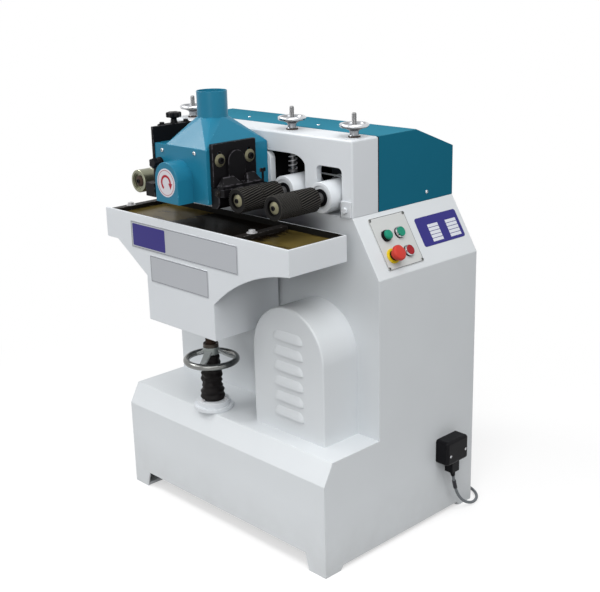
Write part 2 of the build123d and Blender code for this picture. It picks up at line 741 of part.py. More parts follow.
def drive_belts():
    """Belts from the motor up to the spindle."""
    wheels = ((SPINDLE_X, SPINDLE_Z, SPINDLE_PULLEY_R), (MOTOR_X, MOTOR_Z, MOTOR_PULLEY_R))
    return Compound(children=[loop_y(wheels, FREE, BELT_T, y0, y1) for y0, y1 in belt_rows()])


def spindle_shaft():
    """Cutter spindle with its nose nut and its pulley."""
    nose = HOOD_FRONT_Y - SPINDLE_NOSE
    body = bar_y(SPINDLE_R, SPINDLE_X, SPINDLE_Z, nose, PULLEY_Y0)
    nut = bar_y(SPINDLE_NUT_R, SPINDLE_X, SPINDLE_Z, HOOD_FRONT_Y - SPINDLE_NUT_L - HOOD_T, HOOD_FRONT_Y - HOOD_T)
    return body + nut + pulley(SPINDLE_X, SPINDLE_Z, SPINDLE_PULLEY_R)


def knife_box(turn, room):
    """One knife blank, standing out of the cutterhead at a turn about the spindle."""
    y1 = HOOD_BACK_Y - CUTTER_BACK + room
    y0 = HOOD_BACK_Y - CUTTER_BACK - CUTTER_L - room
    depth = KNIFE_DEPTH + room
    knife = Pos(KNIFE_TIP_R - depth / 2, 0, 0) * Box(depth, y1 - y0, KNIFE_T + 2 * room)
    return Pos(SPINDLE_X, (y0 + y1) / 2, SPINDLE_Z) * Rot(0, turn, 0) * knife


def cutterhead():
    """Round cutter block with a slot for each knife."""
    y1 = HOOD_BACK_Y - CUTTER_BACK
    body = bar_y(CUTTER_R, SPINDLE_X, SPINDLE_Z, y1 - CUTTER_L, y1)
    body -= bar_y(SPINDLE_R + RUN, SPINDLE_X, SPINDLE_Z, y1 - CUTTER_L, y1)
    for index in range(KNIFE_COUNT):
        body -= knife_box(index * 360 / KNIFE_COUNT + 360 / KNIFE_COUNT / 2, RUN)
    return body


def cutter_knives():
    """The knives in the cutter block."""
    turns = [index * 360 / KNIFE_COUNT + 360 / KNIFE_COUNT / 2 for index in range(KNIFE_COUNT)]
    return Compound(children=[knife_box(turn, 0) for turn in turns])


def main_motor():
    """Foot-mounted motor, its fan end in the louvred cover."""
    y0 = COLUMN_Y - MOTOR_FRONT
    y1 = COLUMN_Y + MOTOR_BACK
    body = bar_y(MOTOR_R, MOTOR_X, MOTOR_Z, y0, y1)
    half = MOTOR_FOOT_W / 2
    foot_y = COLUMN_Y + MOTOR_FOOT_BACK + MOTOR_FOOT_L
    body += block(MOTOR_X - half, MOTOR_X + half, foot_y - MOTOR_FOOT_L, foot_y, SHELF_TOP, MOTOR_Z - MOTOR_R / 2)
    body += block(
        MOTOR_X - MOTOR_BOX / 2,
        MOTOR_X + MOTOR_BOX / 2,
        foot_y - MOTOR_BOX,
        foot_y,
        MOTOR_Z,
        MOTOR_Z + MOTOR_R + MOTOR_BOX_H,
    )
    return body - bar_y(MOTOR_SHAFT_R + RUN, MOTOR_X, MOTOR_Z, y1 - MOTOR_SHAFT_IN, y1 + SHEET)


def motor_pulley():
    """Motor shaft end with the driving pulley."""
    y1 = COLUMN_Y + MOTOR_BACK
    shaft = bar_y(MOTOR_SHAFT_R, MOTOR_X, MOTOR_Z, y1 - MOTOR_SHAFT_IN + FREE, PULLEY_Y1)
    return pulley(MOTOR_X, MOTOR_Z, MOTOR_PULLEY_R) + shaft


def hood_cone(inset, foot_z):
    """Folded square-to-round cone between the hood box and the outlet, shrunk by inset."""
    x0 = HOOD_LEFT_X + HOOD_LEDGE + inset
    x1 = HOOD_RIGHT_X - inset
    y0 = HOOD_FRONT_Y + inset
    y1 = HOOD_BACK_Y - inset
    corners = [(x1, y0, foot_z), (x1, y1, foot_z), (x0, y1, foot_z), (x0, y0, foot_z)]
    radius = OUTLET_R - CONE_TOP_IN - inset
    count = 4 * CONE_FOLDS
    ring = []
    for index in range(count):
        turn = 2 * math.pi * index / count - math.pi / 2
        ring.append((OUTLET_X + radius * math.cos(turn), HOOD_MID_Y + radius * math.sin(turn), OUTLET_Z0))
    outlines = [corners, ring]
    for side, corner in enumerate(corners):
        first = side * CONE_FOLDS
        outlines.append([corners[side - 1], corner, ring[first]])
        for fold in range(first, first + CONE_FOLDS):
            outlines.append([corner, ring[(fold + 1) % count], ring[fold]])
    faces = [Face(Wire.make_polygon([Vector(*point) for point in outline])) for outline in outlines]
    return Solid(Shell(faces))


def hood_box(inset, top_inset):
    """Hood box, cone and outlet, shrunk by inset."""
    x0 = HOOD_LEFT_X + inset
    x1 = HOOD_RIGHT_X - inset
    z1 = HOOD_Z1 - top_inset
    body = block(x0, x1, HOOD_FRONT_Y + inset, HOOD_BACK_Y - inset, HOOD_Z0 - top_inset, z1)
    body += hood_cone(inset, z1)
    pipe_z0 = OUTLET_Z0 - OUTLET_SINK if inset else OUTLET_Z0
    return body + bar_z(OUTLET_R - inset, OUTLET_X, HOOD_MID_Y, pipe_z0, OUTLET_Z0 + OUTLET_H + top_inset)


def hood():
    """Sheet chip hood, open below, with a square-to-round cone and a dust outlet."""
    body = hood_box(0, 0) - hood_box(HOOD_T, HOOD_T)
    reach = HOOD_D / 2
    hole = bar_y(SPINDLE_NUT_R + SHAFT_ROOM, SPINDLE_X, SPINDLE_Z, HOOD_FRONT_Y - reach, HOOD_BACK_Y + reach)
    return body - hole


def end_cover():
    """D-shaped cover over the spindle's nose."""
    z0 = SPINDLE_Z - END_BOTTOM_DROP
    z1 = SPINDLE_Z + END_CENTRE_RISE
    front = HOOD_FRONT_Y - END_D
    body = along_y(arch_face(SPINDLE_X, END_HALF_W, z0, z1), front, HOOD_FRONT_Y)
    inner = arch_face(SPINDLE_X, END_HALF_W - HOOD_T, z0 - HOOD_T, z1)
    return body - along_y(inner, front + HOOD_T, HOOD_FRONT_Y + HOOD_T)


def infeed_bolt_places():
    """Y of the two bolts that clamp the infeed plate."""
    y0 = COLUMN_Y - IN_PLATE_Y0
    return (y0 + IN_BOLT_EDGE, y0 + IN_PLATE_W - IN_BOLT_EDGE)


def infeed_plate():
    """Black casting in slots on the hood's right side."""
    x0 = HOOD_RIGHT_X + SEAT
    x1 = x0 + IN_PLATE_T
    y0 = COLUMN_Y - IN_PLATE_Y0
    y1 = y0 + IN_PLATE_W
    body = block(x0, x1, y0, y1, SPINDLE_Z - IN_PLATE_BOTTOM, SPINDLE_Z + IN_PLATE_TOP)
    boss_r = IN_BOSS_W / 2
    boss = Pos((y0 + y1) / 2, SPINDLE_Z - IN_PLATE_BOTTOM + (IN_BOSS_H - boss_r) / 2)
    boss_face = boss * Rectangle(IN_BOSS_W, IN_BOSS_H - boss_r)
    boss_face += Pos((y0 + y1) / 2, SPINDLE_Z - IN_PLATE_BOTTOM + IN_BOSS_H - boss_r) * Circle(boss_r)
    body += along_x(boss_face, x1, x1 + IN_BOSS_T)
    slot_half = IN_BOLT_R + IN_SLOT_ROOM
    z = SPINDLE_Z + IN_BOLT_RISE
    for y in infeed_bolt_places():
        low = z - IN_SLOT_DOWN
        high = z + IN_SLOT_UP
        slot = Pos(y, (low + high) / 2) * Rectangle(2 * slot_half, high - low)
        slot += Pos(y, low) * Circle(slot_half)
        slot += Pos(y, high) * Circle(slot_half)
        body -= along_x(slot, x0 - SEAT, x1 + SEAT)
    return body


def infeed_shoe():
    """Stepped pressure shoe under the infeed plate, rounded where the work comes in."""
    x0 = HOOD_RIGHT_X + SEAT
    y0 = COLUMN_Y - IN_PLATE_Y0
    y1 = y0 + IN_PLATE_W
    top = SPINDLE_Z - IN_PLATE_BOTTOM
    bottom = SPINDLE_Z - IN_SHOE_BOTTOM
    body = block(x0, x0 + IN_SHOE_OUT, y0, y1, bottom, top)
    lead = body.edges().filter_by(Axis.Y).group_by(Axis.Z)[0].sort_by(Axis.X)[-1]
    body = fillet(lead, IN_SHOE_LEAD_R)
    return body + block(x0, x0 + IN_PLATE_T + IN_SHELF_OUT, y0, y1, top - IN_SHELF_T, top)


def outfeed_plate():
    """Black plate on the hood's left side with a cap for the star knob's screw."""
    x1 = HOOD_LEFT_X
    x0 = x1 - OUT_PLATE_T
    y0 = COLUMN_Y - OUT_PLATE_Y0
    top = SPINDLE_Z + OUT_PLATE_TOP
    body = block(x0, x1, y0, y0 + OUT_PLATE_W, SPINDLE_Z - OUT_PLATE_BOTTOM, top)
    knob_x, knob_y = star_place()
    cap_y0 = knob_y - OUT_CARRIAGE_W / 2
    body += block(x1 - OUT_CAP_W, x1, cap_y0, cap_y0 + OUT_CARRIAGE_W, top - OUT_CAP_T, top)
    return body - bar_z(KNOB_SCREW_R + RUN, knob_x, knob_y, top - 2 * OUT_CAP_T, top + OUT_CAP_T)


def star_place():
    """X and Y of the star knob's axis."""
    x = HOOD_LEFT_X - OUT_PLATE_T - FREE - OUT_CARRIAGE_T / 2
    return x, COLUMN_Y - OUT_PLATE_Y0 + OUT_PLATE_W / 2 + KNOB_SHIFT_Y


def outfeed_shoe():
    """Carriage and foot that the star knob raises and lowers."""
    x1 = HOOD_LEFT_X - OUT_PLATE_T - FREE
    y0 = COLUMN_Y - OUT_PLATE_Y0
    y1 = y0 + OUT_PLATE_W
    bottom = SPINDLE_Z - OUT_SHOE_BOTTOM
    knob_x, knob_y = star_place()
    slide_y0 = knob_y - OUT_CARRIAGE_W / 2
    slide_y1 = slide_y0 + OUT_CARRIAGE_W
    body = block(x1 - OUT_CARRIAGE_T, x1, slide_y0, slide_y1, bottom, SPINDLE_Z + OUT_SLIDE_RISE)
    body += block(x1 - OUT_SHOE_OUT, x1, y0, y1, bottom, bottom + OUT_SHOE_H)
    top = SPINDLE_Z + OUT_PLATE_TOP
    return body - bar_z(KNOB_SCREW_R + RUN, knob_x, knob_y, top - 2 * KNOB_SCREW_L, top)


def star_knob():
    """Lobed knob on the outfeed adjusting screw."""
    x, y = star_place()
    seat = SPINDLE_Z + OUT_PLATE_TOP + SEAT
    head = seat + KNOB_NECK_H
    body = bar_z(KNOB_NECK_R, x, y, seat, head)
    body += bar_z(KNOB_SCREW_R, x, y, seat - KNOB_SCREW_L, seat)
    ring_r = KNOB_R - KNOB_LOBE_R
    body += bar_z(ring_r, x, y, head, head + KNOB_H)
    for lobe in range(KNOB_LOBES):
        turn = 2 * math.pi * lobe / KNOB_LOBES
        body += bar_z(KNOB_LOBE_R, x + ring_r * math.cos(turn), y + ring_r * math.sin(turn), head, head + KNOB_H)
    return body


def roller_x(pivot, side):
    """X of a roller's axis."""
    return pivot + side * ARM_REACH


def chain_y(row):
    """Front face of a swing arm's chain."""
    return BRIDGE_BACK_Y + row * SPROCKET_STEP


def roller(pivot, side, row):
    """Feed roller sleeve, its shaft with a sprocket, and the end bolt, as separate pieces."""
    x = roller_x(pivot, side)
    y0 = COLUMN_Y - ROLLER_NOSE
    y1 = y0 + ROLLER_L
    mid = (y0 + y1) / 2
    sleeve = bar_y(ROLLER_R, x, ROLLER_Z, y0, y1)
    groove = bar_y(ROLLER_R + SHEET, x, ROLLER_Z, mid - ROLLER_GROOVE / 2, mid + ROLLER_GROOVE / 2)
    sleeve -= groove - bar_y(ROLLER_R - ROLLER_GROOVE_DEPTH, x, ROLLER_Z, y0, y1)
    sleeve -= bar_y(ROLLER_CORE_R + RUN, x, ROLLER_Z, y0, y1)
    sleeve -= bar_y(ROLLER_RECESS_R, x, ROLLER_Z, y0, y0 + ROLLER_RECESS_D)
    back = WALL_BACK_Y - BRIDGE_WALL + HOUSING_BACK
    shaft = bar_y(ROLLER_CORE_R, x, ROLLER_Z, y0 + ROLLER_RECESS_D, y1)
    shaft += bar_y(ROLLER_NECK_R, x, ROLLER_Z, y1, back)
    shaft += bar_y(ROLLER_TAIL_R, x, ROLLER_Z, back, chain_y(row) + SPROCKET_T)
    shaft += bar_y(SPROCKET_R, x, ROLLER_Z, chain_y(row), chain_y(row) + SPROCKET_T)
    seat = y0 + ROLLER_RECESS_D
    bolt = bar_y(END_WASHER_R, x, ROLLER_Z, seat - END_WASHER_T, seat)
    bolt += bar_y(END_BOLT_R, x, ROLLER_Z, seat - END_WASHER_T - END_BOLT_H, seat - END_WASHER_T)
    bolt -= bar_y(END_SOCKET_R, x, ROLLER_Z, seat - END_WASHER_T - END_BOLT_H, seat - END_WASHER_T)
    return Compound(children=[sleeve, shaft, bolt])


def roller_arm(pivot, side, row):
    """Swing arm casting with the roller's bearing housing, and the chain that runs inside it."""
    x = roller_x(pivot, side)
    y0 = COLUMN_Y - HOUSING_FRONT
    y1 = COLUMN_Y + HOUSING_BACK
    body = bar_y(HOUSING_R, x, ROLLER_Z, y0, y1)
    web_y0 = WALL_BACK_Y + PIVOT_BOSS_L + ARM_GAP + row * (ARM_WEB_T + ARM_GAP)
    web_y1 = web_y0 + ARM_WEB_T
    left = min(x, pivot)
    right = max(x, pivot)
    body += block(left, right, web_y0, web_y1, ROLLER_Z - ARM_WEB_H / 2, ROLLER_Z + ARM_WEB_H / 2)
    body += bar_y(ARM_BOSS_R, pivot, ROLLER_Z, web_y0, web_y1)
    rod_x = press_x(pivot, side)
    ear_left = min(x, rod_x - EAR_R)
    ear_right = max(x, rod_x + EAR_R)
    body += block(ear_left, ear_right, ROD_Y - EAR_T / 2, ROD_Y + EAR_T / 2, ROLLER_Z - EAR_R, EAR_TOP)
    body -= bar_y(ROLLER_NECK_R + RUN, x, ROLLER_Z, y0, y1)
    body -= bar_y(HOUSING_LIP_R, x, ROLLER_Z, y0, y0 + HOUSING_LIP_D)
    body -= bar_y(DRIVE_R + RUN, pivot, ROLLER_Z, web_y0, web_y1)
    chain_y0 = chain_y(row) + (SPROCKET_T - CHAIN_W) / 2
    wheels = ((x, ROLLER_Z, SPROCKET_R), (pivot, ROLLER_Z, SPROCKET_R))
    chain = loop_y(wheels, FREE, CHAIN_T, chain_y0, chain_y0 + CHAIN_W)
    return Compound(children=[body, chain])


def drive_shaft(pivot, rows):
    """Feed drive shaft, on whose axis the arms swing, with its sprockets."""
    y0 = WALL_BACK_Y - DRIVE_IN_WALL + FREE
    rear = BRIDGE_BACK_Y + FEED_CHAIN_Y
    body = bar_y(DRIVE_R, pivot, ROLLER_Z, y0, rear + SPROCKET_T)
    for row in rows:
        body += bar_y(SPROCKET_R, pivot, ROLLER_Z, chain_y(row), chain_y(row) + SPROCKET_T)
    return body + bar_y(FEED_SPROCKET_R, pivot, ROLLER_Z, rear, rear + SPROCKET_T)


def feed_chain():
    """Chain between the two drive shafts, as a plain band."""
    y0 = BRIDGE_BACK_Y + FEED_CHAIN_Y + (SPROCKET_T - CHAIN_W) / 2
    wheels = [(pivot, ROLLER_Z, FEED_SPROCKET_R) for pivot in (PIVOT_IN_X, PIVOT_OUT_X)]
    return loop_y(wheels, FREE, CHAIN_T, y0, y0 + CHAIN_W)


def feed_bearings():
    """Pillow blocks for the rear ends of the drive shafts."""
    blocks = []
    for pivot in (PIVOT_IN_X, PIVOT_OUT_X):
        y0 = BRIDGE_BACK_Y + PILLOW_Y - PILLOW_L / 2
        y1 = y0 + PILLOW_L
        body = along_y(arch_face(pivot, PILLOW_HALF_W, COLUMN_Z, ROLLER_Z), y0, y1)
        blocks.append(body - bar_y(DRIVE_R + RUN, pivot, ROLLER_Z, y0, y1))
    return Compound(children=blocks)


def feed_gearmotor():
    """Hollow-shaft gearbox on the infeed drive shaft, its motor hanging in the column."""
    y = GEARBOX_Y
    x0 = PIVOT_IN_X - GEARBOX_HALF_W
    x1 = PIVOT_IN_X + GEARBOX_HALF_W
    y0 = y - GEARBOX_L / 2
    y1 = y + GEARBOX_L / 2
    body = block(x0, x1, y0, y1, COLUMN_Z, COLUMN_Z + GEARBOX_H)
    body += bar_z(FEED_MOTOR_R, PIVOT_IN_X, y, FEED_MOTOR_Z0, COLUMN_Z + SHEET)
    body += block(x0 - 2 * SHEET, x1 + 2 * SHEET, y - FEED_MOTOR_R - 2 * SHEET, y + FEED_MOTOR_R + 2 * SHEET,
                  COLUMN_Z, COLUMN_Z + 2 * SHEET)
    return body - bar_y(DRIVE_R + RUN, PIVOT_IN_X, ROLLER_Z, y0, y1)


def press_x(pivot, side):
    """X of a pressure rod."""
    return pivot + side * PRESS_REACH


def collar_z():
    """Underside of a pressure rod's spring collar."""
    return EAR_TOP + ROD_COLLAR_RISE - ROD_COLLAR_T


def pressure_rod(pivot, side):
    """Threaded rod with a round foot on the arm and a collar under the spring."""
    x = press_x(pivot, side)
    foot_z = EAR_TOP + FREE + ROD_FOOT_R
    body = Pos(x, ROD_Y, foot_z) * Sphere(ROD_FOOT_R)
    body += bar_z(ROD_R, x, ROD_Y, foot_z, BRIDGE_TOP + ROD_TOP)
    return body + bar_z(ROD_COLLAR_R, x, ROD_Y, collar_z(), collar_z() + ROD_COLLAR_T)


def pressure_wheel(pivot, side):
    """Dished handwheel with a rolled rim, a hub and a seat washer."""
    x = press_x(pivot, side)
    z = BRIDGE_TOP + SEAT
    hub_top = z + WHEEL_HUB_H
    body = bar_z(WHEEL_WASHER_R, x, ROD_Y, z, z + WHEEL_WASHER_T)
    body += bar_z(WHEEL_HUB_R, x, ROD_Y, z, hub_top)
    rim_r = WHEEL_R - WHEEL_RIM_R
    rim_z = z + WHEEL_RIM_RISE
    dish = Polygon(
        (ROD_R + WHEEL_WEB_T, hub_top - WHEEL_WEB_T),
        (WHEEL_HUB_R, hub_top - WHEEL_WEB_T),
        (rim_r, rim_z - WHEEL_WEB_T / 2),
        (rim_r, rim_z + WHEEL_WEB_T / 2),
        (WHEEL_HUB_R, hub_top),
        (ROD_R + WHEEL_WEB_T, hub_top),
    )
    body += Pos(x, ROD_Y, 0) * revolve(Plane.XZ * dish, Axis.Z)
    body += Pos(x, ROD_Y, rim_z) * Torus(rim_r, WHEEL_RIM_R)
    return body - bar_z(ROD_R + RUN, x, ROD_Y, z, hub_top + WHEEL_RIM_RISE)


def biarc(start, start_dir, end, end_dir):
    """Two tangent arcs between two points with given directions."""
    span = end - start
    lean = span.dot(start_dir + end_dir)
    bend = 2 * (1 - start_dir.dot(end_dir))
    reach = (math.sqrt(lean * lean + bend * span.dot(span)) - lean) / bend
    middle = (start + end + (start_dir - end_dir) * reach) * 0.5
    first = TangentArc(start, middle, tangent=start_dir)
    second = TangentArc(middle, end, tangent=first % 1)
    return [first, second]


def wound_path(place, turns, steps_per_turn):
    """Edges of biarcs along a curve given as a function of turns."""
    count = round(turns * steps_per_turn)
    nudge = 1e-4
    edges = []
    for index in range(count):
        near = turns * index / count
        far = turns * (index + 1) / count
        near_dir = (place(near + nudge) - place(near - nudge)).normalized()
        far_dir = (place(far + nudge) - place(far - nudge)).normalized()
        edges += biarc(place(near), near_dir, place(far), far_dir)
    return edges


def least_gap(place, turns, wire_r):
    """Least gap between neighbouring turns, measured on points."""
    per_turn = 72
    points = [place(index / per_turn) for index in range(int(turns * per_turn) + 1)]
    gaps = []
    for index, point in enumerate(points):
        for other in points[index + per_turn // 2:]:
            gaps.append((other - point).length)
    return min(gaps) - 2 * wire_r


def tube(edges, radius):
    """Round tube swept along joined edges."""
    path = Wire(edges)
    section = Plane(path @ 0, z_dir=path % 0) * Circle(radius)
    return sweep(section, path=path)


def pressure_spring(pivot, side):
    """Open-coiled spring between the rod's collar and the bridge."""
    x = press_x(pivot, side)
    z0 = collar_z() + ROD_COLLAR_T + SPRING_WIRE_R + FREE
    z1 = BRIDGE_TOP - BRIDGE_WALL - SPRING_WIRE_R - FREE

    def place(turn):
        angle = 2 * math.pi * turn
        rise = (z1 - z0) * turn / SPRING_TURNS
        return Vector(x + SPRING_R * math.cos(angle), ROD_Y + SPRING_R * math.sin(angle), z0 + rise)

    print("spring least gap", round(least_gap(place, SPRING_TURNS, SPRING_WIRE_R), 2))
    return tube(wound_path(place, SPRING_TURNS, 2), SPRING_WIRE_R)


def table_outline():
    """Front plate of the table: a straight brace on the left, a hollow curve on the right."""
    left_z = TABLE_RIM_Z - SKIRT_LEFT_H
    right_z = TABLE_RIM_Z - SKIRT_RIGHT_H
    knee_left = KNEE_X - KNEE_HALF_W
    knee_right = KNEE_X + KNEE_HALF_W
    shoulder = TABLE_Z - KNEE_SHOULDER_DROP
    mid_x = (knee_right + TABLE_RIGHT_X) / 2
    mid_z = (shoulder + right_z) / 2 + ARC_RISE
    edges = Polyline(
        (TABLE_RIGHT_X, right_z),
        (TABLE_RIGHT_X, TABLE_RIM_Z),
        (TABLE_LEFT_X, TABLE_RIM_Z),
        (TABLE_LEFT_X, left_z),
        (TABLE_LEFT_X + WING_FLAT, left_z),
        (knee_left, left_z - WING_DROP),
        (knee_left, KNEE_Z),
        (knee_right, KNEE_Z),
        (knee_right, shoulder),
    )
    return make_face(edges + ThreePointArc((knee_right, shoulder), (mid_x, mid_z), (TABLE_RIGHT_X, right_z)))


def table_frame():
    """Welded table support: front plate, rims, knee box and the saddle on the slideway."""
    inner_front = TABLE_FRONT_Y + PLATE_T
    inner_back = TABLE_BACK_Y - PLATE_T
    under = TABLE_Z - TABLE_T
    body = along_y(table_outline(), TABLE_FRONT_Y, inner_front)
    right_z = TABLE_RIM_Z - SKIRT_RIGHT_H
    body += block(TABLE_RIGHT_X - PLATE_T, TABLE_RIGHT_X, TABLE_FRONT_Y, TABLE_BACK_Y, right_z, TABLE_RIM_Z)
    left_z = TABLE_RIM_Z - SKIRT_LEFT_H
    body += block(TABLE_LEFT_X, TABLE_LEFT_X + PLATE_T, TABLE_FRONT_Y, TABLE_BACK_Y, left_z, under)
    body += block(TABLE_LEFT_X, TABLE_RIGHT_X, inner_back, TABLE_BACK_Y, right_z, TABLE_RIM_Z)
    knee_left = KNEE_X - KNEE_HALF_W
    knee_right = KNEE_X + KNEE_HALF_W
    knee_back = COLUMN_Y - KNEE_BACK_GAP
    for x0 in (knee_left, knee_right - PLATE_T):
        body += block(x0, x0 + PLATE_T, TABLE_FRONT_Y, inner_back, KNEE_Z, under)
        body += block(x0, x0 + PLATE_T, inner_back, knee_back, KNEE_Z, right_z)
    plate_y = COLUMN_Y - BACK_PLATE_GAP
    body += block(knee_left, knee_right, plate_y - PLATE_T, plate_y, KNEE_Z, under)
    cross = block(knee_left, knee_right, TABLE_FRONT_Y, plate_y, CROSS_Z, CROSS_Z + CROSS_T)
    body += cross - bar_z(SCREW_R + RUN, LIFT_X, LIFT_Y, CROSS_Z - PLATE_T, CROSS_Z + 2 * CROSS_T)
    saddle_z = KNEE_Z + SADDLE_RISE
    gap_y = COLUMN_Y - SHEET / 2
    saddle = block(KNEE_X - SADDLE_HALF_W, KNEE_X + SADDLE_HALF_W, plate_y, gap_y, saddle_z, saddle_z + SADDLE_H)
    slot = Plane.XY.offset(KNEE_Z) * extrude(way_face(2 * RUN), SADDLE_H * 2, dir=(0, 0, 1))
    return body + (saddle - slot)


def table_top():
    """Steel table plate inside the rims, with holes for the clamp bars' bolts."""
    body = block(
        TABLE_LEFT_X,
        TABLE_RIGHT_X - PLATE_T,
        TABLE_FRONT_Y + PLATE_T,
        TABLE_BACK_Y - PLATE_T,
        TABLE_Z - TABLE_T,
        TABLE_Z,
    )
    return body


def clamp_bars():
    """Two black bars across the table, each with a bolt hole near the front."""
    bars = []
    for x in (TABLE_LEFT_X + CLAMP_BAR_LEFT, TABLE_RIGHT_X - CLAMP_BAR_RIGHT):
        y0 = TABLE_FRONT_Y + 2 * PLATE_T
        y1 = TABLE_BACK_Y - 2 * PLATE_T
        bar = block(x - CLAMP_BAR_W / 2, x + CLAMP_BAR_W / 2, y0, y1, TABLE_Z, TABLE_Z + CLAMP_BAR_T)
        bolt_y = TABLE_FRONT_Y + CLAMP_BOLT_Y
        bars.append(bar - bar_z(CLAMP_BOLT_R, x, bolt_y, TABLE_Z, TABLE_Z + 2 * CLAMP_BAR_T))
    return Compound(children=bars)


def lift_nut():
    """Stepped flange on the step, with the lift nut below it."""
    body = bar_z(FLANGE_R, LIFT_X, LIFT_Y, STEP_Z, STEP_Z + FLANGE_T)
    body += bar_z(COLLAR_R, LIFT_X, LIFT_Y, STEP_Z + FLANGE_T, FLANGE_TOP)
    body += bar_z(NUT_R, LIFT_X, LIFT_Y, STEP_Z - NUT_DEPTH, STEP_Z)
    return body - bar_z(SCREW_R + RUN, LIFT_X, LIFT_Y, STEP_Z - 2 * NUT_DEPTH, FLANGE_TOP + SHEET)


def lift_screw():
    """Lift screw with the collars that carry the knee's cross plate."""
    body = bar_z(SCREW_R, LIFT_X, LIFT_Y, STEP_Z - SCREW_BELOW, CROSS_Z + CROSS_T + SCREW_ABOVE)
    body += bar_z(SCREW_COLLAR_R, LIFT_X, LIFT_Y, CROSS_Z - SEAT - SCREW_COLLAR_T, CROSS_Z - SEAT)
    top = CROSS_Z + CROSS_T + SEAT
    return body + bar_z(SCREW_COLLAR_R, LIFT_X, LIFT_Y, top, top + SCREW_COLLAR_T)


def lift_handwheel():
    """Three-spoke handwheel, its hub standing above the rim."""
    rim_z = HUB_TOP - LIFT_RIM_DROP
    body = bar_z(HUB_R, LIFT_X, LIFT_Y, HUB_Z, HUB_TOP)
    body += Pos(LIFT_X, LIFT_Y, rim_z) * Torus(LIFT_WHEEL_R, LIFT_RIM_R)
    start_z = HUB_TOP - SPOKE_DROP
    run = Vector(LIFT_WHEEL_R - HUB_R / 2, 0, rim_z - start_z)
    for index in range(SPOKE_COUNT):
        spoke = Plane((HUB_R / 2, 0, start_z), z_dir=run) * Pos(0, 0, run.length / 2) * Cylinder(SPOKE_R, run.length)
        body += Pos(LIFT_X, LIFT_Y, 0) * Rot(0, 0, index * 360 / SPOKE_COUNT) * spoke
    return body - bar_z(SCREW_R + RUN, LIFT_X, LIFT_Y, HUB_Z, HUB_TOP)


def bellows():
    """Ribbed boot round the lift screw, between the flange and the handwheel's hub."""
    z0 = FLANGE_TOP + FREE
    z1 = HUB_Z - FREE
    pitch = (z1 - z0) / BOOT_RIBS
    rib = ((0.0, BOOT_IN_R), (0.3, BOOT_OUT_R), (0.6, BOOT_OUT_R), (0.9, BOOT_IN_R))
    rings = []
    for index in range(BOOT_RIBS):
        for share, radius in rib:
            rings.append(Pos(LIFT_X, LIFT_Y, z0 + (index + share) * pitch) * Circle(radius))
    rings.append(Pos(LIFT_X, LIFT_Y, z1) * Circle(BOOT_IN_R))
    return loft(rings, ruled=True) - bar_z(BOOT_BORE_R, LIFT_X, LIFT_Y, z0, z1)


def hex_z(x, y, z):
    """Hexagon bolt head standing on a face that looks up."""
    return Pos(x, y, z) * extrude(RegularPolygon(HEX_R, 6), HEX_H, dir=(0, 0, 1))


def frame_bolts():
    """Bolts of the bridge lugs and the lift flange, and the infeed plate's clamp bolts with washers."""
    bolts = []
    for lug_x in (LEFT_X + LUG_INSET + LUG_W / 2, COLUMN_RIGHT_X - LUG_INSET - LUG_W / 2):
        head = Plane((lug_x, COLUMN_Y - LUG_T, COLUMN_Z + LUG_BOLT_Z), z_dir=(0, -1, 0))
        bolts.append(head * extrude(RegularPolygon(HEX_R, 6), HEX_H, dir=(0, 0, 1)))
    bolt_ring = (FLANGE_R + COLLAR_R) / 2
    for index in range(FLANGE_BOLT_COUNT):
        turn = 2 * math.pi * index / FLANGE_BOLT_COUNT
        x = LIFT_X + bolt_ring * math.cos(turn)
        y = LIFT_Y + bolt_ring * math.sin(turn)
        bolts.append(bar_z(FLANGE_BOLT_R, x, y, STEP_Z + FLANGE_T, STEP_Z + FLANGE_T + HEX_H))
    x0 = HOOD_RIGHT_X
    x1 = x0 + 2 * SEAT + IN_PLATE_T
    z = SPINDLE_Z + IN_BOLT_RISE
    for y in infeed_bolt_places():
        bolt = bar_x(IN_BOLT_R, y, z, x0, x1)
        bolt += bar_x(IN_WASHER_R, y, z, x1, x1 + IN_WASHER_T)
        bolts.append(bolt + bar_x(IN_HEAD_R, y, z, x1 + IN_WASHER_T, x1 + IN_WASHER_T + IN_HEAD_H))
    return Compound(children=bolts)


def control_plate():
    """Panel plate with a hole for each button."""
    body = on_console(PANEL_Y, PANEL_V, PANEL_T / 2) * Box(PANEL_W, PANEL_H, PANEL_T)
    for _, u, v, _ in BUTTONS:
        body -= on_console(u, v, 0) * Cylinder(CAP_R + FREE, 4 * PANEL_T)
    return body - on_console(STOP_Y, STOP_V, 0) * Cylinder(STOP_NECK_R + FREE, 4 * PANEL_T)


def button_bezels():
    """Bezel rings of the buttons and the collar under the emergency stop."""
    rings = []
    for _, u, v, _ in BUTTONS:
        ring = on_console(u, v, PANEL_T + BEZEL_T / 2) * Cylinder(BEZEL_R, BEZEL_T)
        rings.append(ring - on_console(u, v, PANEL_T) * Cylinder(CAP_R + FREE, 4 * BEZEL_T))
    collar = on_console(STOP_Y, STOP_V, PANEL_T + STOP_COLLAR_T / 2) * Cylinder(STOP_COLLAR_R, STOP_COLLAR_T)
    rings.append(collar - on_console(STOP_Y, STOP_V, PANEL_T) * Cylinder(STOP_NECK_R + FREE, 4 * STOP_COLLAR_T))
    return Compound(children=rings)


def push_button(u, v, out):
    """Button cap with its stem behind the panel."""
    cap_h = PANEL_T + out
    body = on_console(u, v, cap_h / 2) * Cylinder(CAP_R, cap_h)
    return body + on_console(u, v, -STEM_IN / 2) * Cylinder(STEM_R, STEM_IN)


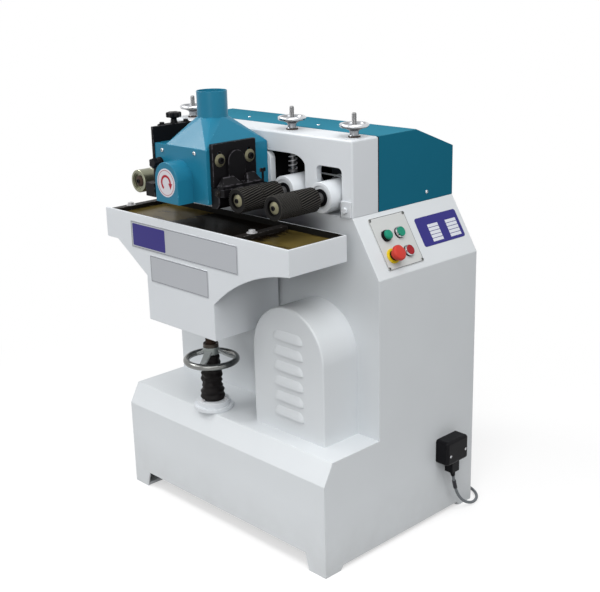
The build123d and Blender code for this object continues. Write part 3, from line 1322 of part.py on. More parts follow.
def emergency_stop():
    """Mushroom-headed stop button with its neck and stem."""
    neck_top = PANEL_T + STOP_COLLAR_T + STOP_NECK_H
    body = on_console(STOP_Y, STOP_V, neck_top / 2) * Cylinder(STOP_NECK_R, neck_top)
    body += on_console(STOP_Y, STOP_V, neck_top + STOP_HEAD_H / 2) * Cylinder(STOP_R, STOP_HEAD_H)
    return body + on_console(STOP_Y, STOP_V, -STEM_IN / 2) * Cylinder(STEM_R, STEM_IN)


def cord_points():
    """The cord's way, from the strain relief to the coil."""
    return [Vector(RIGHT_X + out, BACK_Y + back, z) for out, back, z in CORD_ROUTE]


def power_plug():
    """Moulded power connector on the cabinet's side, with a neck for the cord."""
    half = PLUG_W / 2
    body = block(RIGHT_X, RIGHT_X + PLUG_D, PLUG_Y - half, PLUG_Y + half, PLUG_Z0, PLUG_Z0 + PLUG_H)
    body = fillet(body.edges().filter_by(Axis.X) + body.edges().group_by(Axis.X)[-1], PLUG_EDGE_R)
    cord_x = cord_points()[0].X
    neck = PLUG_NECK_W / 2
    z0 = PLUG_Z0 - PLUG_NECK_H
    y0 = PLUG_NECK_Y - neck
    y1 = PLUG_NECK_Y + neck
    return body + block(cord_x - neck, cord_x + neck, y0, y1, z0, PLUG_Z0 + PLUG_EDGE_R)


def cord_gland():
    """Tapered strain relief under the connector's neck."""
    tip, below = cord_points()[:2]
    place = Plane(tip, z_dir=tip - below)
    return place * Pos(0, 0, GLAND_L / 2) * Cone(GLAND_TIP_R, GLAND_R, GLAND_L)


def cord_run():
    """Cord from the strain relief down to the floor and round the corner."""
    points = cord_points()
    radii = []
    for before, corner, after in zip(points, points[1:], points[2:]):
        run_in = corner - before
        run_out = after - corner
        turn = math.radians(run_in.get_angle(run_out))
        radii.append(0.45 * min(run_in.length, run_out.length) / math.tan(turn / 2))
    print("cord radii", [round(radius) for radius in radii])
    path = FilletPolyline(*points, radius=radii)
    print("cord run length", round(path.length, 1))
    return tube(path.edges(), CORD_R)


def coil_place(turn):
    """Point of the coil: in on the floor, up one layer, and out again on top."""
    climb_start = COIL_LAYER_TURNS
    climb_end = COIL_LAYER_TURNS + COIL_CLIMB_TURNS
    share = min(max((turn - climb_start) / COIL_CLIMB_TURNS, 0), 1)
    lift = COIL_LIFT * share * share * (3 - 2 * share)
    inward = min(turn, climb_start)
    outward = max(turn - climb_end, 0)
    radius = COIL_R - COIL_STEP * (inward - outward)
    angle = -math.pi / 2 - 2 * math.pi * turn
    return Vector(COIL_X + radius * math.cos(angle), COIL_Y + radius * math.sin(angle), COIL_Z + lift)


def coil_turns():
    """Turns in the coil."""
    return 2 * COIL_LAYER_TURNS + COIL_CLIMB_TURNS


def coil_dir(turn):
    """Direction of the coiled cord at a turn."""
    nudge = 1e-4
    return (coil_place(turn + nudge) - coil_place(turn - nudge)).normalized()


def cord_coil():
    """The rest of the cord in a neat two-layer coil on the floor."""
    start_dir = coil_dir(0)
    end_dir = coil_dir(coil_turns())
    start = coil_place(0)
    end = coil_place(coil_turns())
    edges = [Line(start - start_dir * COIL_END_L, start)]
    edges += wound_path(coil_place, coil_turns(), 4)
    edges.append(Line(end, end + end_dir * COIL_TAIL_L))
    print("coil least gap", round(least_gap(coil_place, coil_turns(), CORD_R), 2))
    print("coil length", round(sum(edge.length for edge in edges), 1))
    return tube(edges, CORD_R)


def cord_tie():
    """Band round the coil's turns where they lie along Y."""
    x0 = COIL_X + COIL_R - COIL_LAYER_TURNS * COIL_STEP - CORD_R - TIE_GAP
    x1 = COIL_X + COIL_R + CORD_R + TIE_GAP
    z0 = COIL_Z - CORD_R - TIE_GAP / 6
    z1 = COIL_Z + COIL_LIFT + CORD_R + TIE_GAP
    half = TIE_W / 2
    outer = block(x0 - TIE_T, x1 + TIE_T, COIL_Y - half, COIL_Y + half, z0 - TIE_T, z1 + TIE_T)
    return outer - block(x0, x1, COIL_Y - half, COIL_Y + half, z0, z1)


def cord_plug():
    """Mains plug at the cord's end, lying on the floor beside the coil."""
    end_dir = coil_dir(coil_turns())
    start = coil_place(coil_turns()) + end_dir * COIL_TAIL_L
    place = Plane(start, x_dir=(0, 0, 1), z_dir=end_dir)
    body = place * Pos(0, 0, END_PLUG_NECK_L / 2) * Cone(END_PLUG_NECK_R / 1.3, END_PLUG_NECK_R, END_PLUG_NECK_L)
    height = 2 * (COIL_Z + COIL_LIFT)
    shell = Box(height, END_PLUG_W, END_PLUG_L)
    shell = fillet(shell.edges(), END_PLUG_W / 6)
    body += place * Pos(0, 0, END_PLUG_NECK_L + END_PLUG_L / 2) * shell
    face = END_PLUG_NECK_L + END_PLUG_L
    for index in range(3):
        turn = 2 * math.pi * index / 3
        offset_x = PIN_SPREAD * math.cos(turn)
        offset_y = PIN_SPREAD * math.sin(turn)
        pin = Rot(0, 0, math.degrees(turn)) * Box(PIN_T, PIN_W, 2 * PIN_L)
        body += place * Pos(offset_x, offset_y, face) * pin
    return body


def parts():
    """Every node of the moulder with its shape."""
    nodes = {
        "cabinet": cabinet(),
        "rear_panel": rear_panel(),
        "motor_cover": motor_cover(),
        "bridge": bridge(),
        "rear_cover": rear_cover(),
        "headstock": headstock(),
        "spindle_bearings": spindle_bearings(),
        "spindle_shaft": spindle_shaft(),
        "cutterhead": cutterhead(),
        "cutter_knives": cutter_knives(),
        "main_motor": main_motor(),
        "motor_pulley": motor_pulley(),
        "drive_belts": drive_belts(),
        "hood": hood(),
        "end_cover": end_cover(),
        "infeed_plate": infeed_plate(),
        "infeed_shoe": infeed_shoe(),
        "outfeed_plate": outfeed_plate(),
        "outfeed_shoe": outfeed_shoe(),
        "star_knob": star_knob(),
        "infeed_drive_shaft": drive_shaft(PIVOT_IN_X, (0, 1)),
        "outfeed_drive_shaft": drive_shaft(PIVOT_OUT_X, (0,)),
        "feed_chain": feed_chain(),
        "feed_bearings": feed_bearings(),
        "feed_gearmotor": feed_gearmotor(),
        "table_frame": table_frame(),
        "table_top": table_top(),
        "clamp_bars": clamp_bars(),
        "lift_nut": lift_nut(),
        "lift_screw": lift_screw(),
        "lift_handwheel": lift_handwheel(),
        "bellows": bellows(),
        "frame_bolts": frame_bolts(),
        "control_plate": control_plate(),
        "button_bezels": button_bezels(),
        "emergency_stop": emergency_stop(),
        "power_plug": power_plug(),
        "cord_gland": cord_gland(),
        "cord_run": cord_run(),
        "cord_coil": cord_coil(),
        "cord_tie": cord_tie(),
        "cord_plug": cord_plug(),
    }
    for name, u, v, out in BUTTONS:
        nodes[name] = push_button(u, v, out)
    for name, pivot, side, row in STATIONS:
        nodes[name + "_arm"] = roller_arm(pivot, side, row)
        nodes[name + "_roller"] = roller(pivot, side, row)
        nodes[name + "_rod"] = pressure_rod(pivot, side)
        nodes[name + "_wheel"] = pressure_wheel(pivot, side)
        nodes[name + "_spring"] = pressure_spring(pivot, side)
    return nodes


def main():
    """Write one file for each node."""
    os.makedirs("parts", exist_ok=True)
    for name, shape in parts().items():
        export_step(shape, os.path.join("parts", name + ".step"))


main()
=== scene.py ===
"""Dress of a single-spindle line moulder: cabinet, hood, feed works, lift, console and power lead."""

from __future__ import annotations

import logging
import math
from collections.abc import Callable, Iterable, Sequence
from dataclasses import dataclass, replace
from enum import Enum
from functools import partial

import bmesh
import bpy
from mathutils import Matrix, Vector, noise

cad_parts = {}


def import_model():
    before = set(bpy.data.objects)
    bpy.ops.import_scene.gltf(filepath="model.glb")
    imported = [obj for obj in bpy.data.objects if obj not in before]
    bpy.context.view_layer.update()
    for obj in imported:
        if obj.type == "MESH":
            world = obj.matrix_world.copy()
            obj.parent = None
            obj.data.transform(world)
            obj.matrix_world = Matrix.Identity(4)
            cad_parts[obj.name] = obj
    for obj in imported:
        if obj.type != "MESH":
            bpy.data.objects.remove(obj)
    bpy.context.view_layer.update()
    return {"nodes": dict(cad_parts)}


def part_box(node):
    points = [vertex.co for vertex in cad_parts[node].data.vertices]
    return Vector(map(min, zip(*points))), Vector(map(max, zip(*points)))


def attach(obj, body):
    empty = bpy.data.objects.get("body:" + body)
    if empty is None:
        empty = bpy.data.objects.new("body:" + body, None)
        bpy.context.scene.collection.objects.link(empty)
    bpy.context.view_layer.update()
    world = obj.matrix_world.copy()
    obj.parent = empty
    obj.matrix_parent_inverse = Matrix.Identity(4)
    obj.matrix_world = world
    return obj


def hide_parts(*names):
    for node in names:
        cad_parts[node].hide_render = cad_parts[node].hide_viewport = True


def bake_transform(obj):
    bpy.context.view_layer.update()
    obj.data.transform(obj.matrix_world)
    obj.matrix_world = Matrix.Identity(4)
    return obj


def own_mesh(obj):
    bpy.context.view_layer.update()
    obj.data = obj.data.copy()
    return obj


LOG = logging.getLogger("moulder")
MM = 0.001
Point = tuple[float, float, float]
Flat = tuple[float, float]
Rgb = tuple[int, int, int]
Linear = tuple[float, float, float, float]
Socket = bpy.types.NodeSocket
Piece = bpy.types.Object
Inputs = dict[str | int, object]

ORIGIN: Point = (0.0, 0.0, 0.0)
UP: Point = (0.0, 0.0, 1.0)
FRONT: Point = (0.0, -1.0, 0.0)
BACK: Point = (0.0, 1.0, 0.0)
RIGHT: Point = (1.0, 0.0, 0.0)
LEFT: Point = (-1.0, 0.0, 0.0)

# Limits of the meshes: lengths in millimetres, angles in degrees.
MERGE = 0.001
CAD_MERGE = 0.01
FLAT_ANGLE = 0.6
SHARP_ANGLE = 26.0
ROOM_PER_WIDTH = 2.2

# Least part of a face's normal along Z for a face that looks up, and for one that is level.
FACING = 0.9
LEVEL = 0.99

# Sockets of a colour Mix node, which have no names of their own.
MIX_MASK, MIX_BASE, MIX_OVER, MIX_RESULT = 0, 6, 7, 2

# Noise of the surface effects: scales in features a metre, limits in metres.
NOISE_MIDDLE = 0.5
NOISE_GAIN = 4.0
GLOSS_SCALE = 22.0
GRAIN_DETAIL = 2.0
RUB_AND_SHEEN_SCALE = 90.0
RUB_AND_SHEEN_EDGE = 0.12
SOIL_SCALE = 14.0
SOIL_HEIGHT = 0.16
SOIL_COLOUR: Rgb = (104, 98, 90)
FILM_STRETCH: Point = (1.0, 3.0, 1.0)
FILM_EDGE = 0.25
BUMP_DEPTH = 0.001


class Slot(str, Enum):
    """Material slots of the record."""

    CABINET = "cabinet_paint"
    WHITE = "white_casting"
    TEAL = "teal_paint"
    BLACK = "black_casting"
    GREY = "cast_grey"
    STEEL = "steel"
    FLUTED = "fluted_steel"
    OUTFEED = "outfeed_steel"
    CHROME = "chrome"
    OILED = "oiled_plate"
    MOTOR = "motor_body"
    BELT = "belt"
    BOOT = "boot"
    PLASTIC = "black_plastic"
    PANEL = "panel_plate"
    BEZEL = "bezel"
    GREEN = "green_plastic"
    RED = "red_plastic"
    CORD = "cord"


class Station(str, Enum):
    """The three sprung feed stations."""

    INFEED_1 = "infeed_1"
    INFEED_2 = "infeed_2"
    OUTFEED = "outfeed"


def linear(colour: Rgb) -> Linear:
    """Turn a screen colour into the shader's scale.

    Args:
        colour: red, green and blue from 0 to 255.

    Returns:
        Linear colour with full alpha.
    """
    parts = []
    for value in colour:
        share = value / 255
        parts.append(share / 12.92 if share <= 0.04045 else ((share + 0.055) / 1.055) ** 2.4)
    return parts[0], parts[1], parts[2], 1.0


class Bench:
    """Lays out and wires nodes in one tree."""

    def __init__(self, tree: bpy.types.NodeTree) -> None:
        """Take the tree to work in."""
        self.tree = tree

    def fill(self, node: bpy.types.Node, values: Inputs) -> None:
        """Wire or set a node's inputs.

        Args:
            node: the node.
            values: input by name or number; a socket is wired in, anything else is set.
        """
        for key, value in values.items():
            if isinstance(value, Socket):
                self.tree.links.new(value, node.inputs[key])
            else:
                node.inputs[key].default_value = value

    def node(self, kind: str, values: Inputs | None = None, **settings: object) -> bpy.types.Node:
        """Add a node.

        Args:
            kind: Blender's node type.
            values: its inputs, as in fill.
            settings: the node's own properties.

        Returns:
            The new node.
        """
        made = self.tree.nodes.new(kind)
        for key, value in settings.items():
            setattr(made, key, value)
        self.fill(made, values or {})
        return made

    def math(self, kind: str, first: Socket, second: Socket | float) -> Socket:
        """Add a Math node with two terms."""
        return self.node("ShaderNodeMath", {0: first, 1: second}, operation=kind).outputs[0]

    def vector(self, kind: str, values: Inputs) -> Socket:
        """Add a Vector Math node that gives a vector."""
        return self.node("ShaderNodeVectorMath", values, operation=kind).outputs[0]

    def length(self, way: Socket) -> Socket:
        """Measure a vector."""
        return self.node("ShaderNodeVectorMath", {0: way}, operation="LENGTH").outputs["Value"]

    def step(self, value: Socket, start: Socket | float, end: Socket | float) -> Socket:
        """Rise smoothly from nought to one between two levels of a value."""
        values = {"Value": value, "From Min": start, "From Max": end}
        return self.node("ShaderNodeMapRange", values, interpolation_type="SMOOTHSTEP").outputs[0]

    def mix(self, mask: Socket, base: Socket | Linear, over: Linear) -> Socket:
        """Lay a colour over another one where a mask is white."""
        values = {MIX_MASK: mask, MIX_BASE: base, MIX_OVER: over}
        return self.node("ShaderNodeMix", values, data_type="RGBA").outputs[MIX_RESULT]

    def seen(self) -> Socket:
        """Tell the rays that make the picture from those that only light it.

        Returns:
            Socket that is one for the rays of the picture.
        """
        path = self.node("ShaderNodeLightPath").outputs
        direct = self.math("MAXIMUM", path["Is Camera Ray"], path["Is Glossy Ray"])
        return self.math("MAXIMUM", direct, path["Is Transmission Ray"])


class Effect(str, Enum):
    """Shared surface effects, each one a node group."""

    TONE = "tone_drift"
    GLOSS = "gloss_drift"
    GRAIN = "fine_grain"
    WEAR = "edge_wear"
    SOIL = "floor_soil"
    BRUSH = "brush_marks"
    FILM = "oil_film"
    POOL = "grease_pool"


class EffectGroup(Bench):
    """Builds a shared effect once and places it in materials."""

    sockets: dict[Effect, tuple[dict[str, str], tuple[str, str]]] = {
        Effect.TONE: ({"Colour": "Color", "Spread": "Float", "Scale": "Float"}, ("Colour", "Color")),
        Effect.GLOSS: ({"Level": "Float", "Spread": "Float", "Scale": "Float"}, ("Value", "Float")),
        Effect.GRAIN: ({"Scale": "Float", "Detail": "Float"}, ("Height", "Float")),
        Effect.WEAR: ({"Amount": "Float", "Scale": "Float"}, ("Mask", "Float")),
        Effect.SOIL: ({"Height": "Float", "Amount": "Float"}, ("Mask", "Float")),
        Effect.BRUSH: ({"Stretch": "Vector", "Scale": "Float"}, ("Height", "Float")),
        Effect.FILM: ({"Scale": "Float", "Cover": "Float"}, ("Mask", "Float")),
        Effect.POOL: ({"Centre": "Vector", "Reach": "Vector"}, ("Mask", "Float")),
    }

    def __init__(self, effect: Effect) -> None:
        """Find or build the effect's group.

        Args:
            effect: the shared effect.
        """
        ready = bpy.data.node_groups.get(effect.value)
        super().__init__(ready or bpy.data.node_groups.new(effect.value, "ShaderNodeTree"))
        self.effect = effect
        if ready is None:
            self.build()

    def build(self) -> None:
        """Make the group's sockets and nodes."""
        inputs, output = self.sockets[self.effect]
        for name, kind in inputs.items():
            self.tree.interface.new_socket(name, in_out="INPUT", socket_type=f"NodeSocket{kind}")
        self.tree.interface.new_socket(output[0], in_out="OUTPUT", socket_type=f"NodeSocket{output[1]}")
        self.given = self.node("NodeGroupInput").outputs
        self.spot = self.node("ShaderNodeTexCoord").outputs["Object"]
        makers: dict[Effect, Callable[[], Socket]] = {
            Effect.TONE: self.tone,
            Effect.GLOSS: self.gloss,
            Effect.GRAIN: self.grain,
            Effect.WEAR: self.wear,
            Effect.SOIL: self.soil,
            Effect.BRUSH: self.brush,
            Effect.FILM: self.film,
            Effect.POOL: self.pool,
        }
        self.node("NodeGroupOutput", {0: makers[self.effect]()})

    def cloud(self, spot: Socket, scale: Socket | float, detail: Socket | float = 3.0) -> Socket:
        """Add a noise texture."""
        return self.node("ShaderNodeTexNoise", {"Vector": spot, "Scale": scale, "Detail": detail}).outputs[0]

    def around(self, value: Socket, middle: Socket | float) -> Socket:
        """Swing a level up and down by a noise value, as far as the given spread."""
        swing = self.math("MULTIPLY", self.math("SUBTRACT", value, NOISE_MIDDLE), NOISE_GAIN)
        return self.math("ADD", self.math("MULTIPLY", swing, self.given["Spread"]), middle)

    def tone(self) -> Socket:
        """Colour that drifts a little lighter and darker."""
        share = self.around(self.cloud(self.spot, self.given["Scale"]), 1.0)
        return self.vector("SCALE", {0: self.given["Colour"], "Scale": share})

    def gloss(self) -> Socket:
        """Roughness that drifts over the surface."""
        return self.around(self.cloud(self.spot, self.given["Scale"], detail=4.0), self.given["Level"])

    def grain(self) -> Socket:
        """Height of a fine even grain."""
        return self.cloud(self.spot, self.given["Scale"], self.given["Detail"])

    def wear(self) -> Socket:
        """Mask of rubbed spots along the marked edges, which on the teal paints are a painted highlight.

        Returns:
            The mask's socket.
        """
        edge = self.node("ShaderNodeAttribute", attribute_name="edge").outputs["Fac"]
        spots = self.cloud(self.spot, self.given["Scale"], detail=5.0)
        full = self.math("ADD", self.given["Amount"], RUB_AND_SHEEN_EDGE)
        return self.math("MULTIPLY", edge, self.step(spots, self.given["Amount"], full))

    def soil(self) -> Socket:
        """Mask of dust that gathers towards the floor.

        Returns:
            The mask's socket.
        """
        height = self.node("ShaderNodeSeparateXYZ", {0: self.spot}).outputs["Z"]
        values = {"Value": height, "From Min": 0.0, "From Max": self.given["Height"], "To Min": 1.0, "To Max": 0.0}
        fall = self.node("ShaderNodeMapRange", values).outputs[0]
        patchy = self.math("MULTIPLY", fall, self.cloud(self.spot, SOIL_SCALE, detail=4.0))
        return self.math("MULTIPLY", patchy, self.given["Amount"])

    def brush(self) -> Socket:
        """Height of fine marks drawn out along one way."""
        drawn = self.vector("MULTIPLY", {0: self.spot, 1: self.given["Stretch"]})
        return self.cloud(drawn, self.given["Scale"], detail=4.0)

    def film(self) -> Socket:
        """Mask of a wiped oil film in broad soft patches.

        Returns:
            The mask's socket.
        """
        drawn = self.vector("MULTIPLY", {0: self.spot, 1: FILM_STRETCH})
        patches = self.cloud(drawn, self.given["Scale"], detail=5.0)
        full = self.math("ADD", self.given["Cover"], FILM_EDGE)
        return self.step(patches, self.given["Cover"], full)

    def pool(self) -> Socket:
        """Mask that falls off evenly from a centre to its reach along each axis.

        Returns:
            The mask's socket.
        """
        away = self.vector("SUBTRACT", {0: self.spot, 1: self.given["Centre"]})
        share = self.vector("DIVIDE", {0: away, 1: self.given["Reach"]})
        return self.node("ShaderNodeMapRange", {"Value": self.length(share), "To Min": 1.0, "To Max": 0.0}).outputs[0]

    def put(self, bench: Bench, values: Inputs) -> Socket:
        """Place the group in a material, with its inputs by name."""
        return bench.node("ShaderNodeGroup", values, node_tree=self.tree).outputs[0]


@dataclass(frozen=True)
class Finish:
    """A surface finish; colours run from 0 to 255."""

    name: str
    colour: Rgb
    rough: float = 0.4
    metal: float = 0.0
    shine: float = 0.3
    spread: float = 0.02
    tone_scale: float = 5.0
    gloss_spread: float = 0.03
    grain: float = 0.05
    grain_scale: float = 500.0
    brush: Point | None = None
    # Colour of the marked edges: rubbed edges on most finishes, a painted highlight on the teal paints.
    bare: Rgb = (120, 122, 124)
    wear: float = 0.0
    soil: float = 0.0

    def material(self) -> bpy.types.Material:
        """Find or build the finish's material.

        Returns:
            The material.
        """
        ready = bpy.data.materials.get(self.name)
        if ready:
            return ready
        made = bpy.data.materials.new(self.name)
        made.use_nodes = True
        bench = Bench(made.node_tree)
        gloss = {"Level": self.rough, "Spread": self.gloss_spread, "Scale": GLOSS_SCALE}
        relief = {"Strength": self.grain, "Distance": BUMP_DEPTH, "Height": self.relief(bench)}
        looks = {
            "Base Color": self.tone(bench),
            "Metallic": self.metal,
            "Roughness": EffectGroup(Effect.GLOSS).put(bench, gloss),
            "Specular IOR Level": self.shine,
            "Normal": bench.node("ShaderNodeBump", relief).outputs[0],
        }
        bench.fill(made.node_tree.nodes["Principled BSDF"], looks)
        return made

    def tone(self, bench: Bench) -> Socket:
        """Colour of the surface.

        Args:
            bench: the material's bench.

        Returns:
            The colour's socket.
        """
        drift = {"Colour": linear(self.colour), "Spread": self.spread, "Scale": self.tone_scale}
        colour = EffectGroup(Effect.TONE).put(bench, drift)
        # Marked edges take the edge colour: wear, and on the teal paints a painted highlight.
        if self.wear:
            edge_spots = EffectGroup(Effect.WEAR).put(bench, {"Amount": 1.0 - self.wear, "Scale": RUB_AND_SHEEN_SCALE})
            colour = bench.mix(edge_spots, colour, linear(self.bare))
        if self.soil:
            dust = EffectGroup(Effect.SOIL).put(bench, {"Height": SOIL_HEIGHT, "Amount": self.soil})
            colour = bench.mix(dust, colour, linear(SOIL_COLOUR))
        return colour

    def relief(self, bench: Bench) -> Socket:
        """Height of the surface's grain or brush marks.

        Args:
            bench: the material's bench.

        Returns:
            The height's socket.
        """
        if self.brush:
            return EffectGroup(Effect.BRUSH).put(bench, {"Stretch": self.brush, "Scale": self.grain_scale})
        return EffectGroup(Effect.GRAIN).put(bench, {"Scale": self.grain_scale, "Detail": GRAIN_DETAIL})


@dataclass(frozen=True)
class OiledFinish(Finish):
    """Bare plate with an oil film wiped over it."""

    film_colour: Rgb = (20, 14, 8)
    film_and_shade_centre: Point = (0.0, -0.22, 0.805)
    film_and_shade_reach: Point = (0.19, 0.19, 0.19)
    film_scale: float = 8.0
    film_start: float = 0.5
    film_and_shade_growth: float = 0.9

    def tone(self, bench: Bench) -> Socket:
        """Plate colour with the film's patches over it, thickest under the cutter, where the thickening is both oil and
        painted shade of the hood and rollers.

        Args:
            bench: the material's bench.

        Returns:
            The colour's socket.
        """
        # Oil and painted shade: the film grows thicker towards the cutter, under the hood and rollers.
        pool = EffectGroup(Effect.POOL).put(bench, {"Centre": self.film_and_shade_centre, "Reach": self.film_and_shade_reach})
        cover = bench.math("ADD", bench.math("MULTIPLY", pool, -self.film_and_shade_growth), self.film_start)
        film = EffectGroup(Effect.FILM).put(bench, {"Scale": self.film_scale, "Cover": cover})
        return bench.mix(film, super().tone(bench), linear(self.film_colour))


@dataclass(frozen=True)
class PaintedShadeFinish(Finish):
    """Sheet paint with a painted shadow on the column behind the feed rollers."""

    painted_shade_colour: Rgb = (70, 70, 74)
    painted_shade_centre: Point = (0.06, -0.092, 0.822)
    painted_shade_reach: Point = (0.26, 0.03, 0.07)
    painted_shade_full: float = 0.75

    def tone(self, bench: Bench) -> Socket:
        """Paint colour with the painted shadow behind the rollers over it.

        Args:
            bench: the material's bench.

        Returns:
            The colour's socket.
        """
        # Painted shadow: a dark patch that fades out from a spot on the column behind the rollers.
        pool = EffectGroup(Effect.POOL).put(bench, {"Centre": self.painted_shade_centre, "Reach": self.painted_shade_reach})
        painted_shade = bench.step(pool, 0.0, self.painted_shade_full)
        return bench.mix(painted_shade, super().tone(bench), linear(self.painted_shade_colour))


# The cabinet paint carries a painted shadow on the column behind the feed rollers.
CABINET_PAINT = PaintedShadeFinish(
    "cabinet_paint_satin", (211, 215, 218), grain=0.03, wear=0.34, bare=(190, 193, 196), soil=0.3
)
WHITE_PAINT = Finish(
    "casting_paint_white", (215, 219, 223), 0.42, grain=0.08, grain_scale=260, wear=0.36, bare=(186, 189, 192)
)
# A darker copy of the casting white for the bridge alone: painted shade.
BRIDGE_SHADE_PAINT = replace(WHITE_PAINT, name="bridge_white_painted_shade", colour=(208, 212, 216))
# The teal paints' lighter edge colour is a painted highlight along their rounded edges.
TEAL_PAINT = Finish("hood_paint_teal", (30, 112, 140), 0.32, shine=0.22, grain=0.03, wear=0.42, bare=(62, 146, 174))
# The rear cover's teal is a darker copy of the hood's, painted shade; its roof's lighter copy below is painted light.
COVER_SHADE_TEAL = Finish("cover_teal_painted_shade", (29, 103, 127), 0.42, shine=0.0, grain=0.03, wear=0.4, bare=(56, 132, 156))
ROOF_LIGHT_TEAL = replace(COVER_SHADE_TEAL, name="cover_roof_painted_light", colour=(55, 124, 146), bare=(76, 146, 168))
BLACK_PAINT = Finish(
    "casting_black", (14, 13, 15), 0.46, shine=0.1, grain=0.16, grain_scale=300, wear=0.55, bare=(66, 64, 68)
)
GREY_CAST = Finish(
    "cast_iron_grey", (112, 114, 116), 0.45, 0.7, grain=0.2, grain_scale=260, wear=0.4, bare=(150, 151, 152)
)
STEEL = Finish("turned_steel", (122, 122, 123), 0.42, 0.8, grain=0.06, grain_scale=60, brush=(1, 1, 18))
BRIGHT_STEEL = Finish("bright_spring_steel", (196, 196, 198), 0.36, 0.3, grain=0.06, grain_scale=200)
NICKEL = Finish(
    "satin_nickel_hub", (150, 156, 154), 0.36, 0.6, grain=0.1, grain_scale=200, wear=0.4, bare=(190, 194, 192)
)
SPOKE_STEEL = Finish(
    "ground_spoke_steel", (172, 176, 175), 0.38, 0.4, grain=0.08, grain_scale=200, wear=0.4, bare=(200, 203, 202)
)
NUT_STEEL = Finish("dark_locknut", (72, 66, 60), 0.4, 0.4, spread=0.08, tone_scale=30, grain=0.08, grain_scale=200)
FLUTED_STEEL = Finish(
    "fluted_black_steel", (13, 12, 12), 0.45, shine=0.1, grain=0.1, grain_scale=420, wear=0.93, bare=(76, 74, 70)
)
ZINC = Finish("olive_zinc", (122, 119, 96), 0.4, 0.7, spread=0.06, tone_scale=40, grain=0.08, grain_scale=300)
OUTFEED_STEEL = Finish(
    "smooth_zinc_roller", (136, 137, 118), 0.3, 0.8, spread=0.07, tone_scale=14, brush=(18, 1, 18), grain_scale=60
)
CHROME = Finish("chrome_plate", (204, 206, 209), 0.2, 1.0, gloss_spread=0.02, grain=0.01, grain_scale=90)
# Darker chrome for the wheel dishes: painted reflection.
DISH_REFLECTION_CHROME = Finish(
    "satin_wheel_dish", (150, 152, 155), 0.3, 1.0, spread=0.04, tone_scale=30, grain=0.02, grain_scale=90
)
# A darker copy of the chrome: painted shade.
SHADED_CHROME = Finish(
    "chrome_painted_shade", (122, 123, 121), 0.18, 1.0, spread=0.05, tone_scale=30, grain=0.01, grain_scale=90
)
# The plate's film darkens under the cutter: oil, and painted shade of the hood and rollers.
OILED_PLATE = OiledFinish(
    "oiled_table_plate",
    (92, 79, 40),
    0.2,
    shine=0.02,
    spread=0.12,
    tone_scale=12,
    grain=0.03,
    brush=(1, 14, 1),
    grain_scale=30,
)
# Dark colour for the table's well walls and back rim; on the back rim it is painted shade.
DARK_RIM_SHADE = Finish("dark_rim_painted_shade", (22, 21, 19), 0.42, shine=0.12, spread=0.08, tone_scale=20)
BAR_STEEL = Finish(
    "dark_clamp_steel", (34, 31, 29), 0.45, shine=0.08, grain=0.06, grain_scale=200, wear=0.5, bare=(92, 90, 90)
)
MOTOR_ENAMEL = Finish("motor_enamel", (52, 57, 62), grain=0.1, grain_scale=280)
BELT_RUBBER = Finish("belt_rubber", (24, 24, 25), 0.75, shine=0.1, grain=0.2)
BOOT_CLOTH = Finish(
    "boot_coated_cloth", (17, 14, 14), 0.5, shine=0.12, spread=0.12, tone_scale=30, grain=0.3, grain_scale=700
)
BLACK_PLASTIC = Finish("black_moulded_plastic", (14, 14, 17), shine=0.1, grain=0.1, grain_scale=700)
PANEL_PLATE = Finish("panel_plate_light", (197, 199, 198), 0.36, grain=0.03, brush=(1, 16, 1), grain_scale=60)
DARK_LINE = Finish("printed_dark_line", (62, 66, 74), 0.5, shine=0.1, grain=0.02)
GREEN_PLASTIC = Finish("green_button_plastic", (20, 132, 106), 0.36, shine=0.2, grain=0.02)
RED_PLASTIC = replace(GREEN_PLASTIC, name="red_button_plastic", colour=(152, 24, 34))
STOP_RED = Finish("stop_button_red", (194, 58, 48), shine=0.2, grain=0.02)
COLLAR_YELLOW = replace(STOP_RED, name="collar_yellow", colour=(222, 192, 30))
PLATE_BLUE = replace(STOP_RED, name="name_plate_blue", colour=(45, 41, 120))
PLATE_WHITE = Finish("name_plate_white", (212, 215, 222), grain=0.02)
BADGE_SILVER = Finish("badge_silver", (176, 179, 184), 0.34, 0.3, grain=0.03, brush=(1, 1, 20), grain_scale=60)
BADGE_BLUE = replace(STOP_RED, name="badge_dark_blue", colour=(50, 44, 118))
DISC_WHITE = replace(PLATE_WHITE, name="disc_white", colour=(204, 202, 208))
DISC_RED = replace(STOP_RED, name="disc_red", colour=(160, 30, 46))
CORD_RUBBER = Finish("cord_grey_sheath", (108, 113, 117), 0.5, shine=0.2, grain=0.06, grain_scale=400)
SLEEVE_RUBBER = Finish("cord_dark_sleeve", (44, 44, 48), 0.55, shine=0.2, grain=0.08, grain_scale=400)
DARK_GAP = Finish("shadowed_gap", (24, 25, 27), 0.8, shine=0.05, grain=0.02)
# Grey for the louvres' closed mouths: painted shade.
LOUVRE_SHADE = Finish("louvre_painted_shade", (92, 95, 98), 0.7, shine=0.05, grain=0.02)
SCREW_BROWN = Finish(
    "oiled_lift_screw", (58, 44, 36), 0.5, 0.2, shine=0.15, spread=0.1, tone_scale=30, grain_scale=300
)

